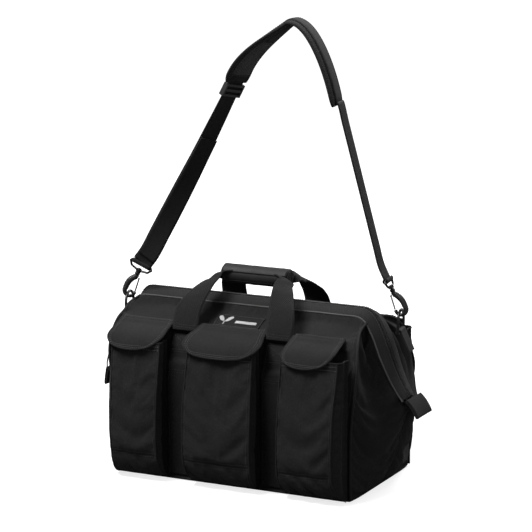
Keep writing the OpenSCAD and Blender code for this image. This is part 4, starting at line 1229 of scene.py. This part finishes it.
WEB_W = 37.0
left_web, piece = band("strap_left_webbing", LEFT_WEB + [PAD_LEFT, (-41, 716)], WEB_W, 0.0, n=170, curl=0.8)
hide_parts("strap_webbing")
right_web, piece = band("strap_right_webbing", RIGHT_WEB + [PAD_RIGHT, (129, 690)], WEB_W, 0.0, n=150, curl=-0.8)
left_double = spline(LEFT_WEB, 200)
double_sheet, piece = band("strap_left_double_layer", left_double[8:150], WEB_W - 0.6, -3.6, n=120, curl=0.5)
lines = [on_sheet(left_web, [0.03, 0.97], [v, v], 260, 1.3) for v in (0.06, 0.94)]
lines += [on_sheet(right_web, [0.03, 0.97], [v, v], 260, 1.3) for v in (0.06, 0.94)]
for sheet, at in ((left_web, 0.085), (right_web, 0.10)):
    for k in (0.0, 0.022):
        lines.append(on_sheet(sheet, [at + k, at + k], [0.08, 0.92], 24, 1.35))
        lines.append(on_sheet(sheet, [at + k, at + k], [0.92, 0.08], 24, -1.35))
stitches("strap_stitches", lines, "strap", mat="thread_dark")

# Loops of webbing round the strap rings
for end, which in ((-1, "left"), (1, "right")):
    mid = hook_point(end, RING_BAR, 0)
    ang = np.linspace(-0.25, 1.25, 26) * math.pi
    cross = []
    for a in ang:
        up = vec(-end * math.sin(HOOK_LEAN), math.cos(HOOK_LEAN))
        cross.append((up * (math.sin(a + math.pi) * 4.6), math.cos(a) * 4.2))
    grid = []
    for up, off in cross:
        row = []
        for v in np.linspace(-0.5, 0.5, 9):
            # the left ring's bar lies in the strap's plane and the right one's across it
            along, y = (v * (WEB_W - 1), off) if end < 0 else (off, v * (WEB_W - 1))
            row.append((mid[0] + up[0] + along * math.cos(HOOK_LEAN), y,
                        mid[1] + up[1] + along * math.sin(HOOK_LEAN) * end))
        grid.append(row)
    Sheet(strap_plane(np.array(grid)), flip=False).build("strap_%s_ring_loop" % which, "strap", "strap", thick=1.8,
                                                         slot="twill_webbing", offset=0.0)

# Padded shoulder rest: crowned outer shell, spacer mesh inside, bound edges, webbing over the top
PAD_W = 62.0
pad_n = 150
taper = 1 - 0.16 * np.clip((0.05 - np.linspace(0, 1, pad_n)) / 0.05, 0, 1) ** 2 \
    - 0.16 * np.clip((np.linspace(0, 1, pad_n) - 0.95) / 0.05, 0, 1) ** 2
outer = strap_sheet(PAD_LINE, PAD_W * taper, 1.0, n=pad_n, cols=25)
inner = strap_sheet(PAD_LINE, PAD_W * taper, -1.0, n=pad_n, cols=25)
v = np.linspace(-1, 1, 25)[None, :]
t = np.linspace(0, 1, pad_n)[:, None]
edge = (1 - np.abs(v) ** 3.5) * np.clip(np.minimum(t, 1 - t) / 0.03, 0, 1) ** 0.5
channel = 0.75 + 0.25 * np.tanh((np.abs(np.abs(v) - 0.66) - 0.05) * 14)
puff = edge * channel * (1 + 0.10 * waves(t * 330, v * 31, 77, 55.0, 3))
normal = outer.normal(t + 0 * v, (v + 1) / 2 + 0 * t)
outer.pts = outer.pts + normal * (4.3 * puff)[..., None]
inner.pts = inner.pts - normal * (4.3 * puff)[..., None]
for sheet, name, mat in ((outer, "pad_outer_cover", "pad"), (inner, "pad_inner_cover", "pad")):
    sheet.flip = name == "pad_inner_cover"
    piece = sheet.build(name, mat, "strap", thick=1.0, slot="pad_cloth", offset=0.0)
    if name == "pad_outer_cover":
        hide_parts("shoulder_pad")
loop = np.concatenate([outer.pts[:, 0] * 0.5 + inner.pts[:, 0] * 0.5,
                       (outer.pts[-1] * 0.5 + inner.pts[-1] * 0.5)[1:-1],
                       (outer.pts[::-1, -1] * 0.5 + inner.pts[::-1, -1] * 0.5),
                       (outer.pts[0, ::-1] * 0.5 + inner.pts[0, ::-1] * 0.5)[1:-1]])
loop = resample(np.concatenate([loop, loop[:1]]), 420)[:-1]
tube("pad_edge_binding", loop, 2.5, "binding", "strap", "binding_tape", sides=10, wrap=True)
lines = []
for sheet, lift in ((outer, 0.55), (inner, 0.55)):
    for vv in (0.17, 0.83):
        lines.append(on_sheet(sheet, [0.03, 0.97], [vv, vv], 200, lift))
    for uu in (0.04, 0.30, 0.70, 0.96):
        lines.append(on_sheet(sheet, [uu, uu], [0.1, 0.9], 40, lift))
    for vv in (0.05, 0.95):
        lines.append(on_sheet(sheet, [0.02, 0.98], [vv, vv], 200, lift))
stitches("pad_stitches", lines, "strap")
# spacer mesh at both ends of the inner face, webbing sleeve on the outer face
for n_mesh, (a, b) in enumerate(((0.045, 0.295), (0.705, 0.955))):
    gu, gv = np.meshgrid(np.linspace(a, b, 40), np.linspace(0.10, 0.90, 20), indexing="ij")
    Sheet(inner.at(gu, gv) + inner.normal(gu, gv) * 0.9, flip=True).build("pad_mesh_%d" % (n_mesh + 1), "mesh",
                                                                          "strap", thick=0.8, slot="pad_cloth")
gu, gv = np.meshgrid(np.linspace(0.0, 1.0, 130), np.linspace(0.2, 0.8, 9), indexing="ij")
sleeve = Sheet(outer.at(gu, gv) + outer.normal(gu, gv) * 1.3)
sleeve.build("pad_webbing_sleeve", "strap", "strap", thick=1.2, slot="twill_webbing")
lines = [on_sheet(sleeve, [0.01, 0.99], [v, v], 200, 0.2) for v in (0.06, 0.94)]
stitches("pad_sleeve_stitches", lines, "strap", mat="thread_dark")

# Snap hooks: a thick ribbed crescent with a barrel and a swivel stud
CRESCENT_R, BACK_R, BACK_RISE, BACK_TURN = 9.5, 30.0, 8.0, math.radians(48)
BARREL = [(28, 3.2), (29, 4.5), (33, 4.6), (33.5, 3.9), (34.7, 3.9), (35.2, 4.6), (39, 4.6), (39.6, 4.0), (39.7, 2.3),
          (45.6, 2.3), (45.7, 3.4), (46.5, 3.4), (46.8, 2.2)]
for end, which in ((-1, "left"), (1, "right")):
    bend = np.linspace(-1, 0, 30) * math.pi
    back = np.linspace(0, BACK_TURN, 40)
    line = np.concatenate([[(-CRESCENT_R, 3.5)], np.stack([np.cos(bend), np.sin(bend)], axis=1) * CRESCENT_R,
                           np.stack([CRESCENT_R - BACK_R + BACK_R * np.cos(back), BACK_RISE + BACK_R * np.sin(back)],
                                    axis=1)])
    line = resample(line, 110)
    path = strap_plane([(hook_point(end, up, out)[0], 0, hook_point(end, up, out)[1]) for out, up in line])
    t = np.linspace(0, 1, len(path))
    thick = np.interp(t, [0, 0.03, 0.08, 0.3, 0.55, 0.8, 1], [2.0, 3.4, 2.9, 3.3, 5.0, 5.5, 5.0])
    thick += 0.28 * np.sin(lengths(path) * 2 * math.pi / 2.8) * np.clip((t - 0.4) / 0.1, 0, 1)
    hook = tube(which + "_hook_crescent", path, thick, "plastic", which + "_hook", "hook_plastic", sides=18)
    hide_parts(which + "_hook")
    stud = strap_plane([(hook_point(end, up, 0)[0], 0, hook_point(end, up, 0)[1]) for up, r in BARREL])
    tube(which + "_hook_barrel", stud, [r for up, r in BARREL], "black_metal", which + "_hook", "hook_plastic",
         sides=24)

# ------------------------------------------------------------- base, tabs

# Base: soft box edge with piping all round
n = 200
a = np.linspace(0, 2 * math.pi, n, endpoint=False)


def base_outline(grow, corner=11.0):
    """Rounded rectangle of the base, grown outwards."""
    hx, hy = HALF_L + grow - corner, HALF_W + grow - corner
    cx, cy = np.cos(a), np.sin(a)
    soft = np.maximum(np.abs(cx), np.abs(cy))[:, None]
    flat = np.stack([cx, cy], axis=1) / soft
    inner = np.stack([flat[:, 0] * hx, flat[:, 1] * hy], axis=1)
    return inner + unit(flat ** 5 + 1e-6 * flat) * corner


rings = [(base_outline(-60), 1.4), (base_outline(-14), 1.2), (base_outline(-3), 0.9), (base_outline(0.3), 2.2),
         (base_outline(0.8), 5.5), (base_outline(0.2), 9.5)]
verts = np.concatenate([np.concatenate([r, np.full((n, 1), z)], axis=1) for r, z in rings])
faces = quads(len(rings), n, wrap=True)
base = object_from("base_cloth", np.concatenate([verts, [[0, 0, 1.4]]]),
                   faces + [[len(rings) * n, k, (k + 1) % n] for k in range(n)], "cloth", "bag",
                   np.concatenate([verts[:, :2], [[0, 0]]]), "pack_cloth")
thicken(base, 1.6, 0.0)
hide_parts("base_panel")
edge = np.concatenate([base_outline(1.6), np.full((n, 1), 3.2)], axis=1)
tube("base_piping", edge, 2.2, "binding", "bag", "binding_tape", sides=10, wrap=True)

for end in (-1, 1):
    which = "left" if end < 0 else "right"
    # End tab: webbing folded over the end of the rims, stitched round its edge
    if end > 0:
        line = [(288, 163), (293, 158.5), (297, 154.5), (301.5, 148.5), (305.5, 142), (308.5, 136)]
    else:
        line = [(-288, 164.5), (-294.5, 161), (-299.5, 154), (-301.5, 146), (-302.5, 138), (-303, 131)]
    tabs = []
    for layer in (0.0, 1.0):
        path = spline(line, 24)
        tang = unit(np.gradient(path, axis=0))
        out = np.stack([-tang[:, 1], tang[:, 0]], axis=1) * -end
        path = path - out * 3.4 * layer
        y = np.linspace(-31, 31, 21)
        pts = np.empty((24, 21, 3))
        pts[..., 0], pts[..., 2] = path[:, :1], path[:, 1:]
        pts[..., 1] = y[None]
        bow = 1.2 * (1 - (y / 31) ** 2)[None] * np.linspace(0, 1, 24)[:, None]
        pts[..., 0] += bow * out[:, :1]
        pts[..., 2] += bow * out[:, 1:]
        tab = Sheet(pts, flip=end < 0)
        tabs.append(tab)
        piece = tab.build("%s_end_tab_%s" % (which, "under" if layer else "upper"), "webbing", "bag", thick=2.0,
                          slot="twill_webbing", offset=0.0)
        if end < 0 and not layer:
            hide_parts("end_tabs")
    lip = [on_sheet(t, [1.0, 1.0], [0.0, 1.0], 40, 0.0)[0] for t in tabs]
    tube(which + "_end_tab_fold", resample((lip[0] + lip[1]) / 2, 30), 2.6, "binding", "bag", "twill_webbing")
    lines = []
    for inset in (0.09, 0.17):
        lines.append(on_sheet(tabs[0], [0.15, 1 - inset, 1 - inset, 0.15], [inset, inset, 1 - inset, 1 - inset], 90,
                              1.1))
    stitches(which + "_end_tab_stitches", lines, "bag")

    # D-ring chape: webbing folded round the ring's bar and sewn down the end wall
    base_x, r = RING_REACH, 4.4
    lean = math.radians(25)
    arc = np.linspace(-0.15, 1.12, 20) * math.pi
    loop = [(base_x - r * math.cos(b - 0.3), BAR_Z + r * math.sin(b - 0.3)) for b in arc]
    tail = [(base_x + r + d * math.sin(lean) * 1.0, BAR_Z - d * math.cos(lean)) for d in (4, 10, 18, 28, 38)]
    path = spline(loop + tail, 60)
    y = np.linspace(-16, 16, 11)
    pts = np.empty((60, 11, 3))
    pts[..., 0], pts[..., 2], pts[..., 1] = end * path[:, :1], path[:, 1:], y[None]
    chape = Sheet(strap_plane(pts), flip=end > 0)
    piece = chape.build(which + "_dring_chape", "strap", "bag", thick=1.9, slot="twill_webbing", offset=0.0)
    if end < 0:
        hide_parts("dring_chapes")
    sign = 1.05
    lines = [on_sheet(chape, [0.5, 0.98], [v, v], 40, sign) for v in (0.1, 0.9)]
    lines += [on_sheet(chape, [u, u], [0.1, 0.9], 24, sign) for u in (0.56, 0.62, 0.97)]
    stitches(which + "_dring_chape_stitches", lines, "bag", mat="thread_dark")

# ------------------------------------------------- zipper pull and finishes

low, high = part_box("pull_cord")
cx, top_z, low_z = (low[0] + high[0]) / 2 / MM, high[2] / MM, low[2] / MM
knot_z = low_z + 16
SWING_OUT = 0.15
left = spline([(cx - 2.2, -1.2, knot_z), (cx - 4.4, -2.0, knot_z + 14), (cx - 3.6, -1.4, knot_z + 32),
               (cx + 0.5, 0, top_z - 5), (cx + 2.6, 0.4, top_z - 2)], 60)
right = spline([(cx + 2.6, 0.4, top_z - 2), (cx + 5.0, 0.8, top_z - 6), (cx + 5.2, 1.4, knot_z + 30),
                (cx + 3.2, 1.8, knot_z + 12), (cx - 0.8, 1.0, knot_z)], 60)
def hang_out(path):
    """The cord leans away from the bag, more so lower down."""
    down = np.clip(top_z - path[:, 2:], 0, 60)
    return path + down * vec(-SWING_OUT, -SWING_OUT, 0)


cord = tube("pull_cord_loop", hang_out(np.concatenate([left, right[1:]])), 1.3, "cord", "zip_pull", "cord", sides=10)
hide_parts("pull_cord")
turns = np.linspace(0, 5 * math.pi, 90)
knot = np.stack([cx - 1.4 + 2.5 * np.cos(turns), 2.3 * np.sin(turns), knot_z + 1.5 - 7 * turns / turns[-1]
                 + 1.2 * np.sin(2.2 * turns)], axis=1)
tube("pull_cord_knot", hang_out(knot), 1.5, "cord", "zip_pull", "cord", sides=10)
tail = spline([(cx - 1.4, 0, knot_z - 4), (cx - 2.2, -0.6, knot_z - 9), (cx - 3.0, -0.8, low_z + 0.5)], 24)
tube("pull_cord_tail", hang_out(tail), np.linspace(1.35, 1.1, 24), "cord", "zip_pull", "cord", sides=10)

FINISH = {
    "base_board": "board", "hinge_pins": "steel", "front_frame_wire": "steel", "rear_frame_wire": "steel",
    "zipper_slider": "black_metal", "pull_tab": "black_metal", "left_dring": "black_metal",
    "right_dring": "black_metal", "strap_rings": "black_metal", "strap_adjuster": "plastic",
    "left_hook": "plastic", "right_hook": "plastic", "left_hook_gate": "gate", "right_hook_gate": "gate",
}
for node, finish in FINISH.items():
    for obj in list(bpy.data.objects):
        if obj.name == node and obj.type == "MESH":
            if not obj.material_slots:
                obj.data.materials.append(None)
            for slot in obj.material_slots:
                slot.material = MAT[finish]

# ------------------------------------------------- camera, floor and light


def aim(obj, target):
    way = vec(*target) - np.array(obj.location)
    side = math.atan2(way[1], way[0]) - math.pi / 2
    tip = math.atan2(way[2], math.hypot(way[0], way[1])) + math.pi / 2
    obj.rotation_euler = (tip, 0.0, side)


def area_light(name, place, target, size, power):
    data = bpy.data.lights.new(name, "AREA")
    data.energy, data.size = power, size
    obj = bpy.data.objects.new(name, data)
    scene.collection.objects.link(obj)
    obj.location = place
    aim(obj, target)


AZIMUTH, ELEVATION, DISTANCE = math.radians(26.0), math.radians(12.5), 4.5
camera = bpy.data.objects.new("camera", bpy.data.cameras.new("camera"))
scene.collection.objects.link(camera)
camera.location = (DISTANCE * math.cos(ELEVATION) * math.sin(AZIMUTH),
                   -DISTANCE * math.cos(ELEVATION) * math.cos(AZIMUTH), 0.3 + DISTANCE * math.sin(ELEVATION))
aim(camera, (0, 0, 0.3))
camera.data.lens, camera.data.sensor_width = 171.9, 36.0
camera.data.shift_x, camera.data.shift_y = 3 / 532, 39 / 532
scene.camera = camera
scene.view_settings.view_transform = "Standard"

area_light("key_light", (-0.75, -1.25, 2.5), (0, 0, 0.3), 1.1, 92)
area_light("fill_light", (3.0, -1.6, 1.6), (0, 0, 0.2), 1.6, 13)
area_light("rim_light", (0.6, 2.8, 2.6), (0, 0, 0.3), 1.6, 80)

world = bpy.data.worlds.new("studio")
world.use_nodes = True
scene.world = world
tree = world.node_tree
seen = tree.nodes.new("ShaderNodeLightPath")
plain = tree.nodes["Background"]
plain.inputs["Color"].default_value = (1, 1, 1, 1)
level = tree.nodes.new("ShaderNodeMapRange")
level.inputs["To Min"].default_value = 0.20
level.inputs["To Max"].default_value = 1.0
tree.links.new(seen.outputs["Is Camera Ray"], level.inputs["Value"])
tree.links.new(level.outputs["Result"], plain.inputs["Strength"])

floor_mat = Nodes("studio_floor")
away = floor_mat.add("CameraData", {})
glow = floor_mat.add("MapRange", {"Value": away.outputs["View Distance"], "From Min": 4.9, "From Max": 6.2,
                                  "To Min": 0.78, "To Max": 1.0})
shine = floor_mat.add("Emission", {"Color": (1, 1, 1, 1), "Strength": glow.outputs["Result"]})
matte = floor_mat.add("BsdfDiffuse", {"Color": (0.5, 0.5, 0.5, 1)})
both = floor_mat.add("AddShader", {0: shine.outputs[0], 1: matte.outputs[0]})
dim = floor_mat.add("BsdfDiffuse", {"Color": (0.16, 0.16, 0.16, 1)})
seen = floor_mat.add("LightPath")
pick = floor_mat.add("MixShader", {0: seen.outputs["Is Camera Ray"], 1: dim.outputs[0], 2: both.outputs[0]})
out = floor_mat.tree.nodes["Material Output"]
floor_mat.tree.links.new(pick.outputs[0], out.inputs["Surface"])
floor = object_from("studio_floor", [(-9000, -9000, -0.5), (9000, -9000, -0.5), (9000, 9000, -0.5),
                                     (-9000, 9000, -0.5)], [[0, 1, 2, 3]], floor_mat.mat)
